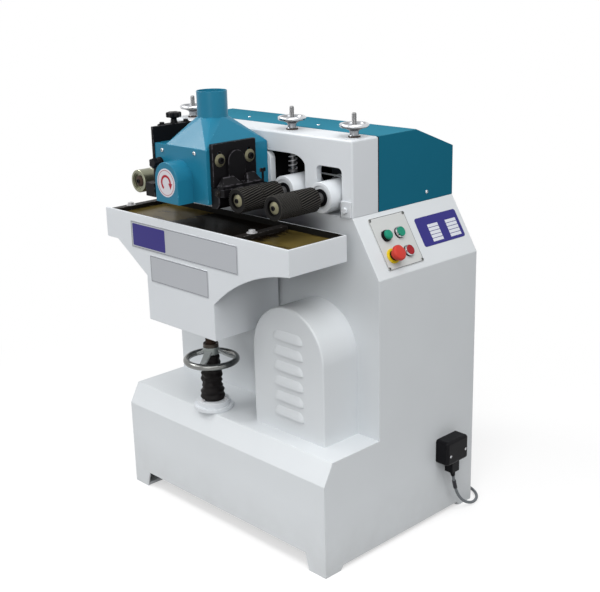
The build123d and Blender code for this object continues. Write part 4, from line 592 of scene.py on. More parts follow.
FINISH_OF_SLOT: dict[Slot, Finish] = {
    Slot.CABINET: CABINET_PAINT,
    Slot.WHITE: WHITE_PAINT,
    Slot.TEAL: TEAL_PAINT,
    Slot.BLACK: BLACK_PAINT,
    Slot.GREY: GREY_CAST,
    Slot.STEEL: STEEL,
    Slot.FLUTED: FLUTED_STEEL,
    Slot.OUTFEED: OUTFEED_STEEL,
    Slot.CHROME: CHROME,
    Slot.OILED: OILED_PLATE,
    Slot.MOTOR: MOTOR_ENAMEL,
    Slot.BELT: BELT_RUBBER,
    Slot.BOOT: BOOT_CLOTH,
    Slot.PLASTIC: BLACK_PLASTIC,
    Slot.PANEL: PANEL_PLATE,
    Slot.BEZEL: CHROME,
    Slot.GREEN: GREEN_PLASTIC,
    Slot.RED: RED_PLASTIC,
    Slot.CORD: CORD_RUBBER,
}


def turned_to(at: Point, axis: Point) -> Matrix:
    """Place that moves the origin to a point and turns +Z to an axis."""
    return Matrix.Translation(at) @ Vector(UP).rotation_difference(Vector(axis)).to_matrix().to_4x4()


def laid_on(at: Point, across: Point, upward: Point) -> Matrix:
    """Place that lays +X and +Y along two given ways.

    Args:
        at: the new origin, in millimetres.
        across: the new way of +X.
        upward: the new way of +Y.

    Returns:
        The placing matrix.
    """
    u = Vector(across).normalized()
    v = Vector(upward).normalized()
    turn = Matrix((u, v, u.cross(v))).transposed().to_4x4()
    return Matrix.Translation(at) @ turn


def linked(name: str, data: bpy.types.ID) -> Piece:
    """Put an object with its data into the scene.

    Args:
        name: the object's name.
        data: its mesh, curve, lamp or camera.

    Returns:
        The object.
    """
    made = bpy.data.objects.new(name, data)
    bpy.context.scene.collection.objects.link(made)
    return made


def thicken(piece: Piece, name: str, thickness: float) -> None:
    """Give a sheet its thickness, inwards.

    Args:
        piece: the sheet.
        name: what it is made of.
        thickness: its thickness, in millimetres.
    """
    wall = piece.modifiers.new(name, "SOLIDIFY")
    wall.thickness = thickness * MM
    wall.offset = -1.0


def rectangle(low: Flat, high: Flat) -> list[Flat]:
    """List the corners between a lower left and an upper right one."""
    return [low, (high[0], low[1]), high, (low[0], high[1])]


def picked(geom: Iterable, kind: type) -> list:
    """Pick the vertices, edges or faces out of an operator's result."""
    return [item for item in geom if isinstance(item, kind)]


class Shape:
    """A mesh in the making, in millimetres; softened edges are marked for wear, which on the teal paints shows as a
    painted highlight.
    """

    nodes: dict[str, Piece] = {}
    arch_share: float = 0.499

    def __init__(self) -> None:
        """Start empty."""
        self.bm = bmesh.new()
        self.edge_mark = self.bm.faces.layers.float.new("edge")

    @classmethod
    def block(cls, low: Point, high: Point) -> Shape:
        """Make a box between two corners.

        Args:
            low: its lower left corner at the front.
            high: its upper right corner at the back.

        Returns:
            The box.
        """
        made = cls()
        size = Vector(high) - Vector(low)
        middle = (Vector(high) + Vector(low)) / 2
        bmesh.ops.create_cube(made.bm, size=1.0, matrix=Matrix.Translation(middle) @ Matrix.Diagonal((*size, 1.0)))
        return made

    @classmethod
    def turned(cls, profile: Sequence[Flat], closed: bool = False, steps: int = 48) -> Shape:
        """Turn a profile round Z.

        Args:
            profile: radius and height of each point.
            closed: whether the last point joins the first.
            steps: steps round the full turn.

        Returns:
            The turned shape.
        """
        made = cls()
        verts = [made.bm.verts.new((radius, 0.0, height)) for radius, height in profile]
        follow = verts[1:] + verts[:1] if closed else verts[1:]
        edges = [made.bm.edges.new(pair) for pair in zip(verts, follow)]
        made.sweep(verts + edges, UP, math.tau, steps, merge=True)
        bmesh.ops.remove_doubles(made.bm, verts=made.bm.verts, dist=MERGE)
        bmesh.ops.recalc_face_normals(made.bm, faces=made.bm.faces)
        return made

    @classmethod
    def plate(
        cls, outline: Sequence[Flat], depth: float, rounds: dict[int, float] | None = None, segments: int = 8
    ) -> Shape:
        """Raise a flat outline along +Z, its named corners rounded first.

        Args:
            outline: the corners in order.
            depth: how far it is raised.
            rounds: radius of each rounded corner, by its index.
            segments: steps of a rounded corner.

        Returns:
            The plate.
        """
        made = cls()
        verts = [made.bm.verts.new((x, y, 0.0)) for x, y in outline]
        made.bm.faces.new(verts)
        for index, radius in (rounds or {}).items():
            made.bevel([verts[index]], radius, segments, "VERTICES")
        return made.lift(depth)

    @classmethod
    def panel(cls, low: Flat, high: Flat, depth: float, radius: float, segments: int) -> Shape:
        """Make a flat plate between two corners, all four corners rounded."""
        return cls.plate(rectangle(low, high), depth, dict.fromkeys(range(4), radius), segments)

    @classmethod
    def arched(cls, low: Point, high: Point, segments: int) -> Shape:
        """Make a cover with a round top, flat towards the front.

        Args:
            low: its lower left corner at the front.
            high: its upper right corner at the back.
            segments: steps of each half of the arch.

        Returns:
            The cover.
        """
        size = Vector(high) - Vector(low)
        rounds = dict.fromkeys((2, 3), cls.arch_share * size.x)
        made = cls.plate(rectangle((0, 0), (size.x, size.z)), size.y, rounds, segments)
        return made.place(laid_on((low[0], high[1], low[2]), RIGHT, UP))

    @classmethod
    def lobed(cls, sides: int, radius: float, wave: float, lobes: int, depth: float) -> Shape:
        """Make a knob's head with a waved edge.

        Args:
            sides: steps round the head.
            radius: its mean radius.
            wave: how far the lobes stand out and the hollows go in.
            lobes: number of lobes.
            depth: its height.

        Returns:
            The head.
        """
        made = cls.rod(sides, radius, depth)
        for vert in made.bm.verts:
            angle = math.atan2(vert.co.y, vert.co.x)
            reach = radius + wave * math.cos(lobes * angle)
            vert.co.x, vert.co.y = reach * math.cos(angle), reach * math.sin(angle)
        return made

    @classmethod
    def rod(cls, sides: int, radius: float, depth: float) -> Shape:
        """Make a bar with flat sides standing on the origin.

        Args:
            sides: number of its sides.
            radius: reach of its corners.
            depth: its height.

        Returns:
            The bar.
        """
        made = cls()
        half = Matrix.Translation((0, 0, depth / 2))
        sizes = {"segments": sides, "radius1": radius, "radius2": radius, "depth": depth}
        bmesh.ops.create_cone(made.bm, cap_ends=True, cap_tris=False, matrix=half, **sizes)
        return made

    @classmethod
    def of_node(cls, node: str) -> Shape:
        """Copy a CAD node's mesh, merged and with its flat faces joined.

        Args:
            node: the node's name.

        Returns:
            The copy.
        """
        made = cls()
        made.bm.free()
        made.bm = bmesh.new()
        made.bm.from_mesh(cls.nodes[node].data)
        bmesh.ops.scale(made.bm, vec=(1 / MM,) * 3, verts=made.bm.verts)
        bmesh.ops.remove_doubles(made.bm, verts=made.bm.verts, dist=CAD_MERGE)
        flat = {"use_dissolve_boundaries": False, "verts": made.bm.verts, "edges": made.bm.edges}
        bmesh.ops.dissolve_limit(made.bm, angle_limit=math.radians(FLAT_ANGLE), delimit=set(), **flat)
        made.edge_mark = made.bm.faces.layers.float.new("edge")
        return made

    def sweep(
        self, geom: list, axis: Point, angle: float, steps: int, run: float = 0.0, merge: bool = False
    ) -> list:
        """Sweep a line or a face round an axis through the origin.

        Args:
            geom: what is swept.
            axis: the axis.
            angle: how far it turns.
            steps: steps of the sweep.
            run: how far it goes along the axis.
            merge: whether the last step closes on the first.

        Returns:
            What stands at the sweep's end.
        """
        way = tuple(Vector(axis) * (run / steps))
        turn = {"cent": ORIGIN, "axis": axis, "dvec": way, "angle": angle, "steps": steps}
        return bmesh.ops.spin(self.bm, geom=geom, use_merge=merge, use_duplicate=False, **turn)["geom_last"]

    def lift(self, depth: float) -> Shape:
        """Raise every face along +Z into a solid.

        Args:
            depth: how far.

        Returns:
            The shape itself.
        """
        raised = bmesh.ops.extrude_face_region(self.bm, geom=list(self.bm.faces))["geom"]
        bmesh.ops.translate(self.bm, vec=(0, 0, depth), verts=picked(raised, bmesh.types.BMVert))
        bmesh.ops.recalc_face_normals(self.bm, faces=self.bm.faces)
        return self

    def split(self, spot: Point, way: Point) -> Shape:
        """Cut the faces along a plane and keep both sides.

        Args:
            spot: a point of the plane.
            way: the plane's normal.

        Returns:
            The shape itself.
        """
        geom = [*self.bm.verts, *self.bm.edges, *self.bm.faces]
        bmesh.ops.bisect_plane(self.bm, geom=geom, plane_co=spot, plane_no=way, dist=MERGE)
        return self

    def drop(self, test: Callable[[bmesh.types.BMFace], bool], context: str = "FACES_ONLY") -> Shape:
        """Delete the faces that pass a test."""
        bmesh.ops.delete(self.bm, geom=[face for face in self.bm.faces if test(face)], context=context)
        return self

    def shift(self, way: Point, test: Callable[[Vector], bool]) -> Shape:
        """Move the points that pass a test."""
        bmesh.ops.translate(self.bm, vec=way, verts=[vert for vert in self.bm.verts if test(vert.co)])
        return self

    def border(self, gap: float, line: float) -> Shape:
        """Print a line round the top face, in the second finish.

        Args:
            gap: how far it stays off the edge.
            line: its width.

        Returns:
            The shape itself.
        """
        top = [face for face in self.bm.faces if face.normal.z > LEVEL]
        bmesh.ops.inset_region(self.bm, faces=top, thickness=gap, use_even_offset=True)
        for face in bmesh.ops.inset_region(self.bm, faces=top, thickness=line, use_even_offset=True)["faces"]:
            face.material_index = 1
        return self

    def bevel(self, geom: list, width: float, segments: int, affect: str) -> list:
        """Bevel edges or corners.

        Args:
            geom: the edges or vertices.
            width: how far the bevel reaches.
            segments: steps of the bevel.
            affect: EDGES or VERTICES.

        Returns:
            The new faces.
        """
        sizes = {"offset": width, "offset_type": "OFFSET", "segments": segments, "profile": 0.5}
        cut = bmesh.ops.bevel(self.bm, geom=geom, affect=affect, material=-1, clamp_overlap=False, **sizes)
        return cut["faces"]

    def soften(
        self, width: float, angle: float = SHARP_ANGLE, segments: int = 2, where: Callable[[Vector], bool] | None = None
    ) -> Shape:
        """Round the sharp outer edges and mark their faces for wear, which on the teal paints is a painted highlight.

        Args:
            width: how far the rounding reaches.
            angle: least angle of an edge that is rounded.
            segments: steps of the rounding.
            where: test of an edge's middle, or None for every edge.

        Returns:
            The shape itself.
        """
        sharp = []
        for edge in self.bm.edges:
            if edge.is_manifold and edge.is_convex and edge.calc_face_angle() > math.radians(angle):
                middle = (edge.verts[0].co + edge.verts[1].co) / 2
                if self.room(edge) > ROOM_PER_WIDTH * width and (where is None or where(middle)):
                    sharp.append(edge)
        for face in self.bevel(sharp, width, segments, "EDGES"):
            face[self.edge_mark] = 1.0
        return self

    @staticmethod
    def room(edge: bmesh.types.BMEdge) -> float:
        """Least breadth of the faces beside an edge.

        Args:
            edge: the edge.

        Returns:
            The breadth, across the edge.
        """
        start = edge.verts[0].co
        way = (edge.verts[1].co - start).normalized()
        breadths = []
        for face in edge.link_faces:
            spans = [vert.co - start for vert in face.verts]
            breadths.append(max((span - way * span.dot(way)).length for span in spans))
        return min(breadths)

    def place(self, matrix: Matrix) -> Shape:
        """Move and turn the whole shape."""
        bmesh.ops.transform(self.bm, matrix=matrix, verts=self.bm.verts)
        return self

    def at(self, spot: Point, axis: Point = UP) -> Shape:
        """Move the origin to a spot and turn +Z to an axis."""
        return self.place(turned_to(spot, axis))

    def tint(self, index: int, test: Callable[[Vector], bool] | None = None) -> Shape:
        """Give faces one of the piece's finishes.

        Args:
            index: number of the finish.
            test: test of a face's middle, or None for every face.

        Returns:
            The shape itself.
        """
        for face in self.bm.faces:
            if test is None or test(face.calc_center_median()):
                face.material_index = index
        return self

    def add(self, *others: Shape) -> Shape:
        """Take other shapes into this one.

        Args:
            others: the shapes, which are used up.

        Returns:
            The shape itself.
        """
        for other in others:
            carrier = bpy.data.meshes.new("carrier")
            other.bm.to_mesh(carrier)
            other.bm.free()
            self.bm.from_mesh(carrier)
            bpy.data.meshes.remove(carrier)
        return self

    def make(
        self, name: str, finish: Finish | Sequence[Finish], body: str, slot: Slot, replaces: Iterable[str] = ()
    ) -> Piece:
        """Finish the mesh as a piece of the object.

        Args:
            name: the piece's name.
            finish: its finish, or several by face index.
            body: the body that it rides on.
            slot: the record's material slot; not used.
            replaces: CAD nodes that it stands for.

        Returns:
            The piece.
        """
        bmesh.ops.remove_doubles(self.bm, verts=self.bm.verts, dist=MERGE)
        bmesh.ops.recalc_face_normals(self.bm, faces=self.bm.faces)
        bmesh.ops.scale(self.bm, vec=(MM,) * 3, verts=self.bm.verts)
        mesh = bpy.data.meshes.new(name)
        self.bm.to_mesh(mesh)
        self.bm.free()
        if "custom_normal" in mesh.attributes:
            mesh.attributes.remove(mesh.attributes["custom_normal"])
        for each in (finish,) if isinstance(finish, Finish) else finish:
            mesh.materials.append(each.material())
        mesh.shade_smooth()
        mesh.set_sharp_from_angle(angle=math.radians(SHARP_ANGLE))
        piece = linked(name, mesh)
        even = piece.modifiers.new("even_normals", "WEIGHTED_NORMAL")
        even.keep_sharp = True
        return settle(piece, body, replaces)


def settle(piece: Piece, body: str, replaces: Iterable[str] = ()) -> Piece:
    """Tie a piece to its body and CAD nodes.

    Args:
        piece: the finished piece.
        body: the body that it rides on.
        replaces: CAD nodes that it stands for.

    Returns:
        The piece.
    """
    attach(piece, body)
    if replaces:
        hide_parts(*replaces)
    LOG.info("%s rides on %s", piece.name, body)
    return piece


class Fastener:
    """Small screws and bolts, each one standing on its seat along +Z."""

    sunk: float = 0.5
    washer_height: float = 1.6

    @staticmethod
    def row(head: Callable[[], Shape], spots: Iterable[Point], axis: Point = UP) -> Shape:
        """Set one kind of head at several spots, pointing one way."""
        return Shape().add(*(head().at(spot, axis) for spot in spots))

    @classmethod
    def pan_screw(cls, radius: float, height: float) -> Shape:
        """Domed screw with a cross recess.

        Args:
            radius: the head's radius.
            height: the head's height.

        Returns:
            The screw, its recess in the second finish.
        """
        dome = [(radius, 0), (radius, 0.35 * height), (0.86 * radius, 0.7 * height)]
        dome += [(0.5 * radius, 0.95 * height), (0, height)]
        made = Shape.turned([(0, -cls.sunk), (radius, -cls.sunk), *dome], steps=20)
        half, wide = 0.6 * radius, 0.11 * radius
        for turn in (0.0, math.pi / 2):
            slot = Shape.block((-half, -wide, 0.6 * height), (half, wide, height + 0.15))
            made.add(slot.tint(1).place(Matrix.Rotation(turn, 4, "Z")))
        return made

    @classmethod
    def hex_bolt(cls, radius: float, height: float, washer: float = 0.0) -> Shape:
        """Hexagon head, on a washer where one is asked for.

        Args:
            radius: reach of the head's corners.
            height: the head's height.
            washer: the washer's radius, or 0 for none.

        Returns:
            The head, its washer in the second finish.
        """
        lift = cls.washer_height if washer else 0.0
        made = Shape.rod(6, radius, height).soften(0.12 * radius).at((0, 0, lift))
        if washer:
            made.add(Shape.rod(28, washer, lift).soften(0.4).tint(1))
        return made

    @classmethod
    def cap_screw(cls, radius: float, height: float) -> Shape:
        """Round head with a socket.

        Args:
            radius: the head's radius.
            height: the head's height.

        Returns:
            The head.
        """
        edge = 0.12 * radius
        head = [(0, -cls.sunk), (radius, -cls.sunk), (radius, height - edge), (radius - edge, height)]
        socket = [(0.56 * radius, height), (0.5 * radius, 0.45 * height), (0, 0.4 * height)]
        return Shape.turned(head + socket, steps=24)

    @staticmethod
    def dished_washer(radius: float, hole: float, height: float) -> Shape:
        """Cupped washer, higher at its hole."""
        ring = [(hole, 0), (radius, 0), (radius, 0.3 * height), (0.9 * radius, 0.5 * height), (hole, height)]
        return Shape.turned(ring, closed=True, steps=36)


@dataclass
class PowerLead:
    """Power connector on the cabinet's side, its cord, tie and plug."""

    radius: float = 4.0
    length: float = 1.69
    route: tuple[Point, ...] = (
        (412, 178.1, 116.9),
        (412, 184.2, 90.6),
        (411, 195.5, 62),
        (411, 213, 35.5),
        (413, 236, 15.5),
        (415, 262, 5.2),
        (411, 286, 5.2),
        (396, 308, 5.2),
        (371, 325, 5.2),
        (343, 333, 5.2),
        (313, 331, 5.2),
        (282, 320, 5.2),
        (250, 311.8, 5.2),
        (215, 312.73, 5.2),
    )
    coil_at: Point = (205, 371, 5.2)
    coil_radius: float = 58.0
    coil_step: float = 9.8
    coil_lift: float = 8.7
    layer_turns: float = 1.75
    climb_turns: float = 0.5
    tail: float = 58.0
    points_per_turn: int = 16
    sleeve_radius: float = 5.4
    sleeve_span: Flat = (72, 103)
    sleeve_left: float = 400.0
    plug_length: float = 64.5
    gland_length: float = 13.5
    gland_radius: float = 5.5
    gland_flare: float = 2.0
    gland_ribs: int = 6
    lid_from: float = 424.0
    lid_back: float = 4.0
    rear_from: float = 196.0
    rear_out: float = 7.0
    screw_spots: tuple[Point, ...] = ((431.0, 143.0, 189.5), (431.0, 205.0, 191.5))

    @property
    def turns(self) -> float:
        """Turns of the whole coil."""
        return 2 * self.layer_turns + self.climb_turns

    def coil_spot(self, turn: float) -> Vector:
        """Point of the coil after a number of turns.

        Args:
            turn: turns from the coil's start.

        Returns:
            The point, in millimetres.
        """
        share = min(max((turn - self.layer_turns) / self.climb_turns, 0), 1)
        rise = self.coil_lift * share * share * (3 - 2 * share)
        inward = min(turn, self.layer_turns)
        outward = max(turn - self.layer_turns - self.climb_turns, 0)
        reach = self.coil_radius - self.coil_step * (inward - outward)
        angle = -math.pi / 2 - math.tau * turn
        return Vector(self.coil_at) + Vector((reach * math.cos(angle), reach * math.sin(angle), rise))

    def coil_end(self) -> tuple[Vector, Vector]:
        """End of the coil, and the way that the cord leaves it."""
        end = self.coil_spot(self.turns)
        return end, (end - self.coil_spot(self.turns - 0.0001)).normalized()

    def points(self) -> list[Vector]:
        """Control points of the whole cord.

        Returns:
            The route's points, the coil's points and the tail's end.
        """
        count = round(self.turns * self.points_per_turn)
        coil = [self.coil_spot(self.turns * index / count) for index in range(count + 1)]
        end, way = self.coil_end()
        return [*map(Vector, self.route), *coil, end + way * self.tail / 2, end + way * self.tail]

    def spline(self, name: str, points: Sequence[Vector], radius: float, finish: Finish) -> Piece:
        """Lay a smooth tube through control points.

        Args:
            name: the piece's name.
            points: control points, in millimetres.
            radius: the tube's radius, in millimetres.
            finish: its finish.

        Returns:
            The curve object.
        """
        curve = bpy.data.curves.new(name, "CURVE")
        curve.dimensions = "3D"
        line = curve.splines.new("NURBS")
        line.points.add(len(points) - 1)
        for knot, point in zip(line.points, points):
            knot.co = (*(point * MM), 1.0)
            knot.radius = radius * MM
        line.order_u = 3
        line.use_endpoint_u = True
        line.resolution_u = 6
        curve.bevel_depth = 1.0
        curve.bevel_resolution = 5
        curve.use_fill_caps = True
        curve.materials.append(finish.material())
        return linked(name, curve)

    def centre_line(self, cord: Piece) -> list[Vector]:
        """Read the points of a cord's own line.

        Args:
            cord: the cord's curve object.

        Returns:
            Points along it, in millimetres.
        """
        depth = cord.data.bevel_depth
        cord.data.bevel_depth = 0.0
        bpy.context.view_layer.update()
        bare = bpy.data.meshes.new_from_object(cord.evaluated_get(bpy.context.evaluated_depsgraph_get()))
        cord.data.bevel_depth = depth
        line = [vert.co / MM for vert in bare.vertices]
        bpy.data.meshes.remove(bare)
        return line

    def build(self) -> None:
        """Lay the cord and make the pieces on it."""
        cord = self.spline("power_cord", self.points(), self.radius, CORD_RUBBER)
        settle(cord, "frame", ("cord_run", "cord_coil"))
        low, high = self.sleeve_span
        line = [point for point in self.centre_line(cord) if low < point.z < high and point.x > self.sleeve_left]
        sleeve = self.spline("cord_sleeve", line, self.sleeve_radius, SLEEVE_RUBBER)
        settle(sleeve, "frame")
        tie = Shape.of_node("cord_tie").soften(0.3)
        tie = tie.make("cord_tie_band", BLACK_PLASTIC, "frame", Slot.PLASTIC, ("cord_tie",))
        plug = self.plug()
        self.connector()

    def plug(self) -> Piece:
        """Make the mains plug, its pins in metal.

        Returns:
            The plug.
        """
        end, way = self.coil_end()
        face = self.tail + self.plug_length
        shape = Shape.of_node("cord_plug").tint(1, lambda spot: (spot - end).dot(way) > face)
        return shape.make("mains_plug", (BLACK_PLASTIC, CHROME), "frame", Slot.PLASTIC, ("cord_plug",))

    def connector(self) -> None:
        """Make the two-part connector with its gland and screws."""
        body = Shape.of_node("power_plug").soften(1.2)
        body.shift((-self.lid_back, 0, 0), lambda spot: spot.x > self.lid_from)
        body.shift((0, self.rear_out, 0), lambda spot: spot.y > self.rear_from)
        body.make("power_connector", BLACK_PLASTIC, "frame", Slot.PLASTIC, ("power_plug",))
        screws = Fastener.row(partial(Fastener.pan_screw, radius=3.6, height=1.5), self.screw_spots, RIGHT)
        screws.make("connector_screws", (CHROME, DARK_GAP), "frame", Slot.CHROME)
        tip, below = Vector(self.route[0]), Vector(self.route[1])
        ribs: list[Flat] = [(0, -1)]
        for step in range(self.gland_ribs):
            height = step * self.gland_length / self.gland_ribs
            radius = self.gland_radius + self.gland_flare * step / self.gland_ribs
            ribs += [(radius - 0.5, height), (radius, height + 0.5)]
            ribs += [(radius, height + 1.6), (radius - 0.5, height + 2.1)]
        ribs.append((0, self.gland_length))
        gland = Shape.turned(ribs, steps=28).at(tuple(tip), tuple(tip - below))
        gland.make("cord_gland_cone", BLACK_PLASTIC, "frame", Slot.PLASTIC, ("cord_gland",))


@dataclass
class Cabinet:
    """Sheet cabinet with its step and column, rear panel and motor cover."""

    cover_low: Point = (66, -212, 300)
    cover_high: Point = (318, -92, 633)
    louvre_count: int = 6
    louvre_size: Flat = (105, 24)
    louvre_pitch: float = 40.4
    louvre_first: float = 358.0
    louvre_middle: float = 195.5
    louvre_out: float = 6.0
    louvre_bend: float = 20.0
    louvre_sunk: float = 0.3
    louvre_hook: float = 2.0
    feet_top: float = 60.0
    back: float = 290.0
    screw_x: Point = (-308, 0, 308)
    screw_z: Point = (112, 420, 728)

    def build(self) -> None:
        """Make the cabinet's pieces."""
        shell = Shape.of_node("cabinet").soften(2.0, where=lambda spot: spot.z > self.feet_top)
        shell.make("cabinet_shell", CABINET_PAINT, "frame", Slot.CABINET, ("cabinet",))
        Casting("rear_panel", "rear_door_panel", CABINET_PAINT, "frame", Slot.CABINET, width=0.6).build()
        spots = [(x, self.back, z) for x in self.screw_x for z in self.screw_z]
        del spots[len(spots) // 2]
        screws = Fastener.row(partial(Fastener.pan_screw, radius=4.5, height=2.6), spots, BACK)
        screws.make("rear_panel_screws", (CHROME, DARK_GAP), "frame", Slot.CHROME)
        self.motor_cover()

    def motor_cover(self) -> None:
        """Make the arched motor cover with its pressed louvres."""
        cover = Shape.arched(self.cover_low, self.cover_high, segments=28)
        front, foot = self.cover_low[1] + 1, self.cover_low[2] + 1
        cover.soften(5.0, angle=60, segments=4, where=lambda spot: spot.y < front and spot.z > foot)
        for row in range(self.louvre_count):
            cover.add(self.louvre(self.louvre_first + row * self.louvre_pitch))
        cover.make("louvred_motor_cover", (CABINET_PAINT, LOUVRE_SHADE), "frame", Slot.CABINET, ("motor_cover",))

    def louvre(self, z: float) -> Shape:
        """Press one louvre, its mouth under the lower lip closed by a face painted as shade.

        Args:
            z: height of its middle.

        Returns:
            The louvre.
        """
        half, tall = self.louvre_size[0] / 2, self.louvre_size[1] / 2
        seat, bend = self.cover_low[1] + self.louvre_sunk, self.louvre_bend
        made = Shape()
        lay = laid_on((self.louvre_middle, seat, z), RIGHT, UP) @ Matrix.Diagonal((half, tall, 1.0, 1.0))
        bmesh.ops.create_grid(made.bm, x_segments=60, y_segments=14, size=1.0, matrix=lay)
        lip = [edge for edge in made.bm.edges if all(vert.co.z < z - tall + CAD_MERGE for vert in edge.verts)]
        for vert in made.bm.verts:
            past = max(abs(vert.co.x - self.louvre_middle) - (half - bend), 0.0) / bend
            top = 1.0 - math.sqrt(max(1.0 - past * past, 0.0))
            fall = max((z + tall - vert.co.z) / (2 * tall) - 0.8 * top, 0.0) / (1.0 - 0.8 * top)
            vert.co.y -= self.louvre_out * math.sin(0.5 * math.pi * fall) ** 0.8 * (1.0 - 0.9 * top)
        pulled = bmesh.ops.extrude_edge_only(made.bm, edges=lip)["geom"]
        for vert in picked(pulled, bmesh.types.BMVert):
            vert.co.y = seat
            vert.co.z += self.louvre_hook
        # The mouth's faces are painted shade.
        for face in picked(pulled, bmesh.types.BMFace):
            face.material_index = 1
        bmesh.ops.holes_fill(made.bm, edges=[edge for edge in made.bm.edges if edge.is_boundary], sides=0)
        return made


@dataclass
class Casting:
    """A casting or sheet part kept in its CAD shape, its edges softened."""

    node: str
    name: str
    finish: Finish
    body: str
    slot: Slot
    width: float = 1.5
    segments: int = 2

    def build(self) -> None:
        """Make the softened piece."""
        shape = Shape.of_node(self.node).soften(self.width, segments=self.segments)
        shape.make(self.name, self.finish, self.body, self.slot, (self.node,))


@dataclass
class Bridge:
    """White bridge casting, rear cover over the drives, and their screws."""

    roof: float = 1036.8
    flange_low: Flat = (-198, 853)
    flange_high: Flat = (24.5, 985.5)
    flange_back: float = -75.5
    seam_z: Flat = (853, 1036)
    sides: Flat = (-390.0, 306.0)
    roof_screws: tuple[Point, ...] = ((-207.5, 45.0, 1037.8), (60.0, 45.0, 1037.8), (-360.0, 45.0, 1037.8))
    side_screw: Flat = (182.9, 874.0)

    def build(self) -> None:
        """Make the bridge's pieces."""
        # The bridge takes the darker copy of the casting white: painted shade.
        Casting("bridge", "bridge_casting", BRIDGE_SHADE_PAINT, "frame", Slot.WHITE, width=1.8, segments=3).build()
        # The cover's roof faces take the lighter teal as painted light, the rest the darker copy as painted shade.
        cover = Shape.of_node("rear_cover").soften(1.4).tint(1, lambda spot: spot.z > self.roof)
        cover.make("rear_drive_cover", (COVER_SHADE_TEAL, ROOF_LIGHT_TEAL), "frame", Slot.TEAL, ("rear_cover",))
        Casting("headstock", "spindle_headstock", BLACK_PAINT, "frame", Slot.BLACK, width=2.0).build()
        flange = Shape.plate(rectangle(self.flange_low, self.flange_high), depth=18.0, rounds={2: 22.0, 3: 22.0})
        flange.soften(2.5, angle=60, segments=3).place(laid_on((0, self.flange_back, 0), RIGHT, UP))
        flange.make("headstock_flange", WHITE_PAINT, "frame", Slot.WHITE)
        low, high = self.seam_z
        left, right = self.sides
        seam = Shape.block((right - 1, -0.4, low), (right + 0.3, 1.8, high))
        seam.add(Shape.block((left - 0.2, -0.4, low), (left + 1, 1.8, high)))
        seam.make("rear_cover_seam", DARK_GAP, "frame", Slot.TEAL)
        screws = Fastener.row(partial(Fastener.pan_screw, radius=4.2, height=2.6), self.roof_screws)
        for side, out in ((right, RIGHT), (left, LEFT)):
            screws.add(Fastener.pan_screw(radius=4.4, height=2.4).at((side, *self.side_screw), out))
        screws.make("rear_cover_screws", (CHROME, DARK_GAP), "frame", Slot.CHROME)


